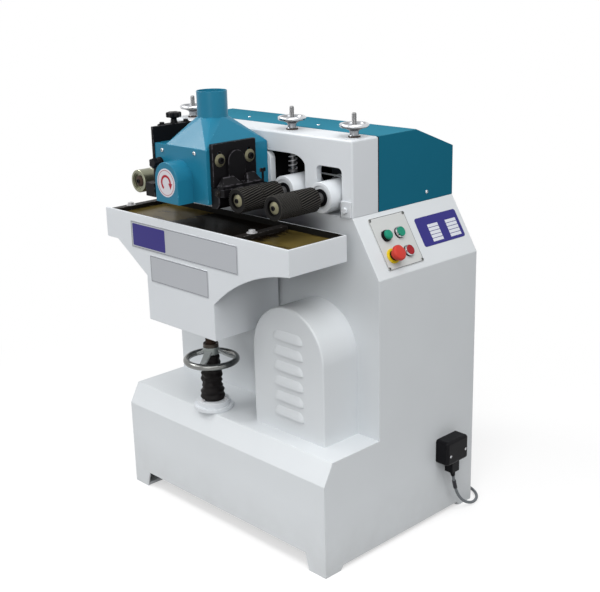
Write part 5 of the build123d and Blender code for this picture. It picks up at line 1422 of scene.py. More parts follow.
@dataclass
class Hood:
    """Chip hood with its cone, dust outlet and spindle end cover."""

    low: Point = (-189, -294, 878)
    high: Point = (15, -94, 1012)
    cone_left: float = -143.0
    outlet_at: Flat = (-74.5, -194)
    outlet_radius: float = 38.5
    cone_top: float = 1078.0
    outlet_top: float = 1141.0
    sheet: float = 1.6
    cover_low: Point = (-132, -342, 877)
    cover_high: Point = (-42, -294, 979)
    cover_back: float = 0.65
    disc_z: float = 928.0
    print_low: float = 0.2
    print_depth: float = 0.45
    screw_spots: tuple[Point, ...] = ((-158.0, -294.0, 996.4), (-29.9, -294.0, 1000.3))

    def build(self) -> None:
        """Make the hood's pieces."""
        self.shell()
        self.outlet()
        self.end_cover()
        screws = Fastener.row(partial(Fastener.pan_screw, radius=5.4, height=3.2), self.screw_spots, FRONT)
        screws.make("hood_screws", (CHROME, DARK_GAP), "frame", Slot.CHROME)

    def shell(self) -> None:
        """Make the folded box and the cone above it."""
        shape = Shape.block(self.low, self.high).split((self.cone_left, 0, 0), RIGHT)
        shape.drop(lambda face: face.normal.z < -FACING)
        shape.drop(lambda face: face.normal.z > FACING and face.calc_center_median().x > self.cone_left)
        foot = Shape.block((self.cone_left, self.low[1], self.high[2] - 1), self.high)
        foot.drop(lambda face: face.normal.z < FACING, "FACES")
        spot = Matrix.Translation((*self.outlet_at, self.cone_top))
        bmesh.ops.create_circle(foot.bm, segments=8, radius=self.outlet_radius, matrix=spot)
        foot.drop(lambda face: True)
        bmesh.ops.convex_hull(foot.bm, input=foot.bm.verts)
        foot.drop(lambda face: abs(face.normal.z) > LEVEL)
        shape.add(foot)
        bmesh.ops.remove_doubles(shape.bm, verts=shape.bm.verts, dist=CAD_MERGE)
        loose = [edge for edge in shape.bm.edges if not edge.link_faces]
        bmesh.ops.delete(shape.bm, geom=loose, context="EDGES")
        bmesh.ops.recalc_face_normals(shape.bm, faces=shape.bm.faces)
        shape.soften(1.4, angle=14)
        piece = shape.make("chip_hood", TEAL_PAINT, "frame", Slot.TEAL, ("hood",))
        thicken(piece, "sheet", self.sheet)
        piece.modifiers.move(len(piece.modifiers) - 1, 0)

    def outlet(self) -> None:
        """Make the round dust outlet with a rolled lip."""
        r, z0, z1 = self.outlet_radius, self.cone_top - 8, self.outlet_top
        wall = [(r - 2, z0), (r, z0), (r, z1 - 0.8), (r - 0.8, z1), (r - 1.4, z1), (r - 2, z1 - 0.7)]
        shape = Shape.turned(wall, closed=True, steps=72).at((*self.outlet_at, 0))
        shape.make("dust_outlet_pipe", TEAL_PAINT, "frame", Slot.TEAL)

    def end_cover(self) -> None:
        """Make the D-shaped cover over the spindle's end, with its disc."""
        front = self.cover_low[1]
        cover = Shape.arched(self.cover_low, self.cover_high, segments=24)
        cover.soften(2.2, angle=50, segments=3, where=lambda spot: spot.y < front + 1)
        cover.shift((0, self.cover_back, 0), lambda spot: spot.y < front + 5)
        cover.make("spindle_end_cover", TEAL_PAINT, "frame", Slot.TEAL, ("end_cover",))
        disc = Shape.turned([(0, -0.4), (35.5, -0.4), (35.5, 0.25), (35, 0.45), (0, 0.45)], steps=64)
        ring = Shape.turned([(30.4, 0.2), (31.6, 0.2), (31.6, 0.6), (30.4, 0.6)], closed=True, steps=64).tint(1)
        disc.add(ring, *self.arrow())
        disc.at(((self.cover_low[0] + self.cover_high[0]) / 2, front + self.cover_back, self.disc_z), FRONT)
        disc.make("turning_sense_disc", (DISC_WHITE, DISC_RED), "frame", Slot.TEAL)

    def arrow(self) -> list[Shape]:
        """Make a plain curved arrow that shows which way the spindle turns.

        Returns:
            The arrow's bow and head.
        """
        bow = Shape()
        verts = [bow.bm.verts.new((radius, 0.0, self.print_low)) for radius in (14.0, 20.0)]
        edge = bow.bm.edges.new(verts)
        bow.sweep([*verts, edge], UP, angle=math.radians(235), steps=36)
        head = Shape.plate([(9.0, 0.0), (25.0, 0.0), (17.0, -15.0)], self.print_depth).at((0, 0, self.print_low))
        return [bow.lift(self.print_depth).tint(1), head.tint(1)]


@dataclass
class ShoeWorks:
    """Infeed and outfeed shoes with their plates, bolts and knobs."""

    star_at: Flat = (-203.3, -217.5)
    star_low: float = 1052.0
    bolt_radius: float = 16.0
    bolt_y: Flat = (-262.0, -166.0)
    bolt_z: float = 985.0
    washer_x: float = 27.4
    head_x: float = 29.0
    shelf_low: Point = (35.4, -282, 919.8)
    shelf_high: Point = (60, -148, 927)
    lugs: tuple[Point, ...] = ((-281, -215, 945), (-200, -152, 947))
    lug_x: Flat = (35.3, 56)
    lug_narrowing: Point = (0.3, 0.5, 1.0)
    shelf_bolt: Point = (48, -207.5, 926.8)
    front_bolt: Point = (42.0, -283.8, 908.0)
    wing_at: Point = (53.0, -147.0, 926.5)
    wing_z: Flat = (944, 954)
    clamp_knob_at: Point = (-168, -294, 965)
    plate_bolts: tuple[Point, ...] = ((-204.0, -256.0, 1051.9), (-204.0, -179.0, 1051.9))

    def build(self) -> None:
        """Make the shoes' pieces."""
        for node, name, body, width in (
            ("infeed_plate", "infeed_shoe_plate", "infeed_shoe", 1.6),
            ("infeed_shoe", "infeed_shoe_block", "infeed_shoe", 2.0),
            ("outfeed_plate", "outfeed_side_plate", "frame", 1.2),
            ("outfeed_shoe", "outfeed_shoe_block", "outfeed_shoe", 1.6),
        ):
            Casting(node, name, BLACK_PAINT, body, Slot.BLACK, width).build()
        self.shelf()
        self.star_knob()
        self.clamp_knob()
        self.bolts()

    def shelf(self) -> None:
        """Make the clamp shelf on the infeed shoe, with its lugs, screws and wing."""
        made = Shape.block(self.shelf_low, self.shelf_high).soften(1.6)
        left, right = self.lug_x
        for front, back, top in self.lugs:
            lug = Shape.block((left, front, self.shelf_high[2] - 1), (right, back, top))
            ridge = [vert for vert in lug.bm.verts if vert.co.z > top - 1]
            foot = Matrix.Translation((-left, -(front + back) / 2, 0))
            bmesh.ops.scale(lug.bm, vec=self.lug_narrowing, space=foot, verts=ridge)
            made.add(lug.soften(2.5, angle=20, segments=3))
        made.add(Fastener.hex_bolt(radius=5.0, height=4.0).at(self.shelf_bolt))
        made.add(Fastener.hex_bolt(radius=6.5, height=4.0, washer=9.0).tint(1).at(self.front_bolt, FRONT))
        made.add(Shape.rod(sides=20, radius=3.0, depth=26.0).at(self.wing_at))
        x, y, _ = self.wing_at
        low, high = self.wing_z
        for near, far in ((-9.0, -2.6), (2.6, 9.0)):
            made.add(Shape.block((x - 1.8, y + near, low), (x + 1.8, y + far, high)).soften(1.0))
        made.make("infeed_shoe_clamp", (BLACK_PAINT, BAR_STEEL), "infeed_shoe", Slot.BLACK)

    def star_knob(self) -> None:
        """Make the six-lobed knob of the outfeed shoe."""
        head = Shape.lobed(sides=72, radius=18.2, wave=1.8, lobes=6, depth=14.0).soften(3.4, angle=50, segments=5)
        neck = Shape.turned([(0, 0.2), (9, 0.2), (9, 3), (7.6, 6), (7.6, 11), (10, 14.5), (0, 14.5)], steps=32)
        screw = Shape.turned([(0, -66), (3.4, -66), (3.4, 0.3), (0, 0.3)], steps=20).tint(1)
        boss = Shape.turned([(0, 27.5), (6.5, 27.5), (6.5, 28), (0, 28)], steps=28)
        head.at((0, 0, 14)).add(neck, screw, boss).at((*self.star_at, self.star_low))
        head.make("shoe_star_knob", (BLACK_PLASTIC, STEEL), "star_knob", Slot.PLASTIC, ("star_knob",))

    def clamp_knob(self) -> None:
        """Make the small black clamp knob at the hood's left front edge."""
        grip = Shape.lobed(sides=60, radius=12.0, wave=1.2, lobes=5, depth=13.0).soften(2.0, angle=50, segments=3)
        stem = Shape.turned([(0, -1), (13, -1), (13, 6), (8, 8), (6.5, 15.5), (0, 15.5)], steps=28)
        grip.at((0, 0, 15)).add(stem).at(self.clamp_knob_at, FRONT)
        grip.make("hood_clamp_knob", BLACK_PLASTIC, "frame", Slot.PLASTIC)

    def bolts(self) -> None:
        """Make the infeed plate's clamp bolts and the outfeed plate's bolts."""
        clamps = Shape()
        for y in self.bolt_y:
            washer = Fastener.dished_washer(self.bolt_radius, hole=6.0, height=4.0)
            head = Fastener.cap_screw(radius=8.0, height=7.0).tint(1)
            clamps.add(washer.at((self.washer_x, y, self.bolt_z), RIGHT), head.at((self.head_x, y, self.bolt_z), RIGHT))
        clamps.make("infeed_clamp_bolts", (ZINC, BLACK_PAINT), "frame", Slot.STEEL)
        heads = Fastener.row(partial(Fastener.hex_bolt, radius=7.0, height=4.6, washer=9.0), self.plate_bolts)
        heads.make("outfeed_plate_bolts", (BLACK_PAINT, BLACK_PAINT), "frame", Slot.BLACK)


@dataclass
class FeedRoller:
    """One feed roller: two fluted rings, or a smooth one, with its end bolt."""

    station: Station
    x: float
    z: float = 897.0
    front: float = -276.0
    back: float = -148.0
    radius: float = 30.0
    flutes: tuple[int, int] = (32, 32)
    depth: float = 2.0
    fine_flutes: int = 60
    fine_depth: float = 0.7
    twist: float = -26.0
    twist_steps: int = 6
    parting: float = 0.8
    core_radius: float = 27.0
    shaft_radius: float = 13.0
    rim_radius: float = 28.4
    seat: float = 5.6

    def ring(self, y0: float, y1: float, count: int, depth: float) -> Shape:
        """Make a fluted ring with a recess in its front end.

        Args:
            y0: its front end.
            y1: its back end.
            count: number of flutes.
            depth: depth of the flutes.

        Returns:
            The ring, round the Y axis.
        """
        made = Shape()
        stand = laid_on((0, y0, 0), RIGHT, UP)
        loop = bmesh.ops.create_circle(made.bm, segments=4 * count, radius=self.radius, matrix=stand)["verts"]
        low = [vert for index, vert in enumerate(loop) if index % 4 > 1]
        shrink = (self.radius - depth) / self.radius
        bmesh.ops.scale(made.bm, vec=(shrink, 1, shrink), verts=low)
        start = list(made.bm.edges)
        last = made.sweep(loop + start, BACK, math.radians(self.twist), self.twist_steps, y1 - y0)
        last = picked(last, bmesh.types.BMEdge)
        self.close(made, start, ((28.2, -0.8), (27.2, 0), (19.5, 0), (18.8, 5.0)))
        self.close(made, last, ((28.2, 0.6), (16.0, 0)))
        bmesh.ops.recalc_face_normals(made.bm, faces=made.bm.faces)
        for face in made.bm.faces:
            middle = face.calc_center_median()
            reach = math.hypot(middle.x, middle.z)
            end = reach > self.rim_radius and abs(face.normal.y) > 0.5
            face[made.edge_mark] = 1.0 if reach > self.radius - 0.3 * depth else 0.5 * end
        return made

    @staticmethod
    def close(shape: Shape, edges: list, steps: Sequence[Flat]) -> None:
        """Draw an open end inwards in steps and cap it.

        Args:
            shape: the ring.
            edges: edges of its open end.
            steps: radius and shift along Y of each step.
        """
        for radius, shift in steps:
            pulled = bmesh.ops.extrude_edge_only(shape.bm, edges=edges)["geom"]
            edges = picked(pulled, bmesh.types.BMEdge)
            for vert in picked(pulled, bmesh.types.BMVert):
                reach = math.hypot(vert.co.x, vert.co.z)
                vert.co.x, vert.co.z = vert.co.x * radius / reach, vert.co.z * radius / reach
                vert.co.y += shift
        bmesh.ops.contextual_create(shape.bm, geom=edges)

    def build(self) -> None:
        """Make the roller with its shaft and end bolt."""
        name = f"{self.station.value}_roller"
        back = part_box(name)[1].y / MM
        if self.station is Station.OUTFEED:
            body, finish, slot = self.smooth(), (OUTFEED_STEEL, SCREW_BROWN), Slot.OUTFEED
        else:
            body, finish, slot = self.fluted(), (FLUTED_STEEL, ZINC), Slot.FLUTED
        start, r = self.back - 1, self.shaft_radius
        body.add(Shape.turned([(0, start), (r, start), (r, back), (0, back)]).tint(3).at(ORIGIN, BACK))
        seat = self.front + self.seat
        body.add(Fastener.dished_washer(radius=15.0, hole=5.0, height=5.4).tint(1).at((0, seat, 0), FRONT))
        body.add(Fastener.cap_screw(radius=6.0, height=5.5).tint(2).at((0, seat - 2.0, 0), FRONT))
        body.at((self.x, 0, self.z))
        body.make(f"{self.station.value}_feed_roller", (*finish, BLACK_PAINT, STEEL), name, slot, (name,))

    def fluted(self) -> Shape:
        """Make two fluted rings with a dark parting line between them.

        Returns:
            The rings, round the Y axis.
        """
        middle, gap = (self.front + self.back) / 2, self.parting
        first, second = self.flutes
        depth = self.depth if first < self.fine_flutes else self.fine_depth
        body = self.ring(self.front + gap, middle - gap, first, depth)
        body.add(self.ring(middle + gap, self.back, second, self.depth))
        r, low, high = self.core_radius, middle - 2, middle + 2
        return body.add(Shape.turned([(0, low), (r, low), (r, high), (0, high)]).at(ORIGIN, BACK))

    def smooth(self) -> Shape:
        """Make the smooth roller with a stepped recess in its end.

        Returns:
            The roller, round the Y axis.
        """
        r, f, b = self.radius, self.front, self.back
        groove = [(r, f + 40.5), (r - 0.6, f + 40), (r - 0.6, f + 39), (r, f + 38.5)]
        end = [(r - 1, f), (r - 7, f), (r - 7.5, f + 3), (r - 10, f + 3), (r - 10.5, f + 7), (0, f + 7)]
        wall = [(0, b), (r - 1, b), (r, b - 1), *groove, (r, f + 1)]
        return Shape.turned(wall + end, steps=72).at(ORIGIN, BACK)


@dataclass
class PressureSet:
    """Swing arm, sprung rod and handwheel of one feed station."""

    station: Station
    x: float
    roller_x: float
    roller_z: float = 897.0
    y: float = -46.0
    rod_radius: float = 6.0
    foot_radius: float = 8.0
    wheel_low: float = 1038.2
    rim_radius: float = 31.3
    rim_rise: float = 28.4
    rim_size: Flat = (4.7, 5.2)
    dish_radius: float = 28.6
    rod_top: float = 1096.0
    thread_low: float = 1031.0
    thread_pitch: float = 2.2
    thread_depth: float = 0.8
    spring_low: float = 937.3
    spring_high: float = 1019.7
    spring_radius: float = 10.2
    wire: float = 1.7
    turns: int = 7
    steps_per_turn: int = 28
    keep: float = 0.762

    def build(self) -> None:
        """Make the station's pieces."""
        name = self.station.value
        arm = f"{name}_arm"
        Casting(arm, f"{name}_swing_arm", WHITE_PAINT, arm, Slot.WHITE, width=1.8, segments=3).build()
        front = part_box(arm)[0].y / MM
        seal = Shape.turned([(13.4, -2), (21.5, -2), (21.5, 0.4), (20.5, 0.7), (13.4, 0.7)], closed=True)
        seal.at((self.roller_x, front, self.roller_z), FRONT)
        seal.make(f"{name}_shaft_seal", BLACK_PLASTIC, arm, Slot.PLASTIC)
        self.rod()
        self.wheel()
        self.spring()

    def rod(self) -> None:
        """Make the rod, threaded above the bridge."""
        name = f"{self.station.value}_rod"
        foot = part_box(name)[0].z / MM
        round_foot, r = self.foot_radius, self.rod_radius
        turns = [math.radians(15 * index) for index in range(7)]
        profile = [(round_foot * math.sin(turn), foot + round_foot * (1 - math.cos(turn))) for turn in turns]
        collar = [(8, 8.7), (12.2, 8.7), (13, 9.5), (13, 13.9), (12.2, 14.7), (r, 14.7)]
        profile += [(radius, foot + height) for radius, height in collar]
        height = self.thread_low
        profile.append((r, height - 1))
        while height < self.rod_top - 3:
            profile += [(r, height), (r - self.thread_depth, height + self.thread_pitch / 2)]
            height += self.thread_pitch
        profile += [(4.8, self.rod_top - 1), (4.0, self.rod_top), (0, self.rod_top)]
        shape = Shape.turned(profile, steps=32).at((self.x, self.y, 0))
        shape.make(f"{name}_threaded", STEEL, name, Slot.STEEL, (name,))

    def wheel(self) -> None:
        """Make the dished chrome handwheel with its hub and washer."""
        name = f"{self.station.value}_wheel"
        z = self.wheel_low
        rim = z + self.rim_rise
        wide, tall = self.rim_size
        turns = [math.radians(-115 + 22 * index) for index in range(13)]
        bead = [(self.rim_radius + wide * math.cos(turn), rim + tall * math.sin(turn)) for turn in turns]
        hub = [(7, 3.2), (12.6, 3.2), (11.4, 5), (11, 12), (12.5, 15.8), (17, 18.6), (24, 21.4)]
        crown = [(25, 28), (18, 24.8), (14, 23.4), (12.4, 24.2), (7, 24.2)]
        hub, crown = ([(radius, z + height) for radius, height in part] for part in (hub, crown))
        shape = Shape.turned([*hub, *bead, *crown], closed=True, steps=72)
        # Painted reflection and shade: the dish takes a darker chrome for reflections it lacks, the underside below the
        # bead the darker, shaded copy.
        shape.tint(2, lambda spot: spot.xy.length < self.dish_radius)
        shape.tint(3, lambda spot: spot.xy.length > self.dish_radius and spot.z < rim - 3.0)
        washer = [(7, z), (15, z), (15, z + 2.4), (14, z + 3.2), (7, z + 3.2)]
        shape.add(Shape.turned(washer, closed=True, steps=40).tint(1)).at((self.x, self.y, 0))
        shape.make(f"{name}_dished", (CHROME, SCREW_BROWN, DISH_REFLECTION_CHROME, SHADED_CHROME), name, Slot.CHROME, (name,))

    def spring(self) -> None:
        """Wind the rod's spring."""
        made = Shape()
        stand = laid_on((self.spring_radius, 0, self.spring_low + self.wire), RIGHT, UP)
        ring = bmesh.ops.create_circle(made.bm, segments=12, radius=self.wire, matrix=stand, cap_ends=True)["verts"]
        geom = [*ring, *made.bm.edges, *made.bm.faces]
        rise = self.spring_high - self.spring_low - 2 * self.wire
        made.sweep(geom, UP, math.tau * self.turns, self.turns * self.steps_per_turn, rise)
        made.at((self.x, self.y, 0))
        name = f"{self.station.value}_spring"
        piece = made.make(f"{name}_wound", BRIGHT_STEEL, "frame", Slot.STEEL, (name,))
        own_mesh(piece)


@dataclass
class Table:
    """Rise-and-fall table with its plate, clamp bars and badge plates."""

    face: float = -320.0
    bar_places: tuple[float, float] = (-375.0, 122.0)
    bolt_y: float = -250.0
    bar_top: float = 818.0
    dark_rim_line: float = 806.5
    rim_inside: float = 820.2
    well_y: Flat = (-314.2, -134.0)
    ledge_y: float = -137.6
    well_right: float = 317.2

    def build(self) -> None:
        """Make the table's pieces."""
        weldment = Shape.of_node("table_frame").soften(1.6).split((0, 0, self.dark_rim_line), UP)
        low, right = self.dark_rim_line - 0.5, self.well_right
        front, back = self.well_y
        # The well's inner walls and the back rim are painted dark; on the back rim, its top included, this is painted
        # shade.
        weldment.tint(1, lambda spot: low < spot.z < self.rim_inside and front < spot.y < back and spot.x < right)
        weldment.tint(1, lambda spot: spot.z > low and spot.y > self.ledge_y and spot.x < right)
        weldment.make("table_weldment", (WHITE_PAINT, DARK_RIM_SHADE), "table", Slot.WHITE, ("table_frame",))
        Casting("table_top", "table_plate", OILED_PLATE, "table", Slot.OILED, width=0.8).build()
        Casting("clamp_bars", "table_clamp_bars", BAR_STEEL, "table", Slot.BLACK, width=1.4).build()
        spots = [(x, self.bolt_y, self.bar_top) for x in self.bar_places]
        bolts = Fastener.row(partial(Fastener.hex_bolt, radius=9.0, height=6.0, washer=13.5), spots)
        bolts.make("clamp_bar_bolts", (BRIGHT_STEEL, BRIGHT_STEEL), "table", Slot.STEEL)
        self.badge("upper_badge_plate", (-281, 730), (147, 803), block=146.0)
        self.badge("lower_badge_plate", (-204, 649), (32, 721))

    def badge(self, name: str, low: Flat, high: Flat, block: float = 0.0) -> None:
        """Make a bare badge plate with a thin border line.

        Args:
            name: the piece's name.
            low: its lower left corner, X and Z.
            high: its upper right corner, X and Z.
            block: width of the plain dark block at its left, or 0.
        """
        wide, tall = high[0] - low[0], high[1] - low[1]
        plate = Shape.panel((0, 0), (wide, tall), depth=0.8, radius=4.0, segments=5)
        plate.soften(0.3, angle=60, segments=1).border(gap=2.5, line=0.9)
        if block:
            patch = Shape.panel((8, 7), (block, tall - 7), depth=0.25, radius=3.0, segments=4)
            plate.add(patch.tint(2).at((0, 0, 0.75)))
        plate.place(laid_on((low[0], self.face, low[1]), RIGHT, UP))
        plate.make(name, (BADGE_SILVER, DARK_LINE, BADGE_BLUE), "table", Slot.PANEL)


@dataclass
class Lift:
    """Lift screw with its flange, boot and handwheel."""

    x: float = -87.0
    y: float = -227.0
    flange_top: float = 324.0
    flange_reach: float = 35.0
    bridge_bolts: tuple[Point, ...] = ((-369.0, -97.0, 870.0), (287.0, -97.0, 870.0))
    screw_radius: float = 14.0
    thread_top: float = 552.0
    thread_pitch: float = 4.2
    collar_radius: float = 22.0
    collars: tuple[Flat, ...] = ((590.8, 600.8), (613.2, 623.2))
    boot_low: float = 324.3
    boot_high: float = 451.7
    boot_folds: int = 17
    boot_cloth: float = 1.2
    boot_radius: float = 30.0
    boot_taper: float = 11.0
    boot_swell: float = 0.16
    boot_lean: float = 2.6
    boot_sag: float = 3.2
    rim_z: float = 436.0
    rim_radius: float = 67.0
    rim_tube: float = 8.4
    hub_radius: float = 20.0
    hub_bore: float = 14.4
    hub_low: float = 452.0
    hub_high: float = 483.0
    nut_low: float = 472.0
    spoke_turn: float = 55.0
    spoke_start: float = 12.0
    spoke_size: Flat = (22.0, 7.0)
    spoke_narrowing: float = 0.35
    spoke_fall: float = 30.0

    def build(self) -> None:
        """Make the lift's pieces."""
        Casting("lift_nut", "lift_nut_flange", WHITE_PAINT, "frame", Slot.WHITE, width=1.2).build()
        bolts = Shape()
        for index in range(3):
            turn = math.radians(30 + 120 * index)
            out = Vector((math.cos(turn), math.sin(turn), 0)) * self.flange_reach
            seat = (self.x + out.x, self.y + out.y, self.flange_top)
            bolts.add(Fastener.hex_bolt(radius=5.0, height=5.0).tint(1).at(seat))
        bolts.add(Fastener.row(partial(Fastener.hex_bolt, radius=8.0, height=6.5), self.bridge_bolts, FRONT))
        bolts.make("frame_bolt_heads", (WHITE_PAINT, BRIGHT_STEEL), "frame", Slot.CHROME, ("frame_bolts",))
        self.screw()
        self.handwheel()
        self.boot()

    def screw(self) -> None:
        """Make the lift screw with its thread and collars."""
        low, high = (corner.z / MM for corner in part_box("lift_screw"))
        r = self.screw_radius
        profile: list[Flat] = [(0, low)]
        height = low
        while height < self.thread_top:
            profile += [(r, height), (r, height + 2.0), (r - 1.4, height + 2.4), (r - 1.4, height + 3.8)]
            height += self.thread_pitch
        profile.append((r, self.thread_top + 4))
        for under, over in self.collars:
            profile += [(r, under), (self.collar_radius, under), (self.collar_radius, over), (r, over)]
        profile += [(r, high), (0, high)]
        shape = Shape.turned(profile, steps=40).at((self.x, self.y, 0))
        shape.make("lift_screw_thread", SCREW_BROWN, "lift_screw", Slot.STEEL, ("lift_screw",))

    def handwheel(self) -> None:
        """Make the three-spoke handwheel with its chrome rim."""
        turns = [math.tau * index / 20 for index in range(20)]
        tube = self.rim_tube
        rim = [(self.rim_radius + tube * math.cos(turn), self.rim_z + tube * math.sin(turn)) for turn in turns]
        wheel = Shape.turned(rim, closed=True, steps=96)
        low, nut, high, r, bore = self.hub_low, self.nut_low, self.hub_high, self.hub_radius, self.hub_bore
        hub = [(bore, low), (r, low), (r + 1, low + 1), (r + 1, nut), (r - 0.4, nut + 0.4), (r - 0.4, nut + 1.4)]
        hub += [(r + 0.6, nut + 1.8), (r + 0.6, high - 2), (r, high - 1), (r - 1, high - 1), (bore, high - 3)]
        wheel.add(Shape.turned(hub, closed=True, steps=48).tint(1).tint(3, lambda spot: spot.z > nut))
        for index in range(3):
            turn = math.radians(self.spoke_turn + 120 * index)
            wheel.add(self.spoke().tint(2).place(Matrix.Rotation(turn, 4, "Z")))
        wheel.at((self.x, self.y, 0))
        # The rim takes the darker, shaded copy of the chrome: painted shade.
        finishes = (SHADED_CHROME, NICKEL, SPOKE_STEEL, NUT_STEEL)
        wheel.make("lift_wheel", finishes, "lift_screw", Slot.CHROME, ("lift_handwheel",))

    def spoke(self) -> Shape:
        """Make a flat spoke that falls from the hub to the rim along +X.

        Returns:
            The spoke.
        """
        start, end = self.spoke_start, self.rim_radius
        wide, thick = (size / 2 for size in self.spoke_size)
        bar = Shape.block((start, -wide, -thick), (end, wide, thick))
        every = [edge for edge in bar.bm.edges if abs(edge.verts[0].co.x - edge.verts[1].co.x) > 1]
        bmesh.ops.subdivide_edges(bar.bm, edges=every, cuts=8, use_grid_fill=True)
        for vert in bar.bm.verts:
            share = (vert.co.x - start) / (end - start)
            vert.co.y *= 1.0 - self.spoke_narrowing * share
            vert.co.z += self.rim_z + self.spoke_fall * (1 - share) ** 1.4 * (1 - 0.2 * share)
        return bar.soften(1.8, angle=50, segments=3)

    def boot(self) -> None:
        """Make the crumpled boot between the flange and the hub."""
        ribs: list[Flat] = []
        span, count = self.boot_high - self.boot_low, self.boot_folds
        for index in range(count):
            share = index / (count - 1)
            fold = (0.07 if index % 2 else -0.05) * (1.0 + 0.6 * math.sin(2.3 * index))
            radius = self.boot_radius - self.boot_taper * share**1.4
            ribs.append((radius * (1.0 + fold), self.boot_low + 0.4 + (span - 0.8) * share))
        made = Shape.turned(ribs, steps=56)
        bmesh.ops.subdivide_edges(made.bm, edges=list(made.bm.edges), cuts=1, use_grid_fill=True, smooth=0.8)
        for vert in made.bm.verts:
            share = (vert.co.z - self.boot_low) / span
            soft = math.sin(math.pi * min(max(share, 0.0), 1.0))
            angle = math.atan2(vert.co.y, vert.co.x)
            swell = noise.noise(Vector((1.7 * math.cos(angle), 1.7 * math.sin(angle), 5 * share)))
            tilt = math.sin(angle + 7 * share) + 0.6 * math.sin(2 * angle - 11 * share)
            reach = 1.0 + self.boot_swell * soft * swell
            vert.co.x = vert.co.x * reach - self.boot_lean * math.sin(math.tau * share)
            vert.co.y *= reach
            vert.co.z = min(max(vert.co.z + self.boot_sag * soft * tilt, self.boot_low), self.boot_high)
        made.at((self.x, self.y, 0))
        piece = made.make("lift_boot", BOOT_CLOTH, "frame", Slot.BOOT, ("bellows",))
        thicken(piece, "cloth", self.boot_cloth)
        piece.parent = None
        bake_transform(piece)


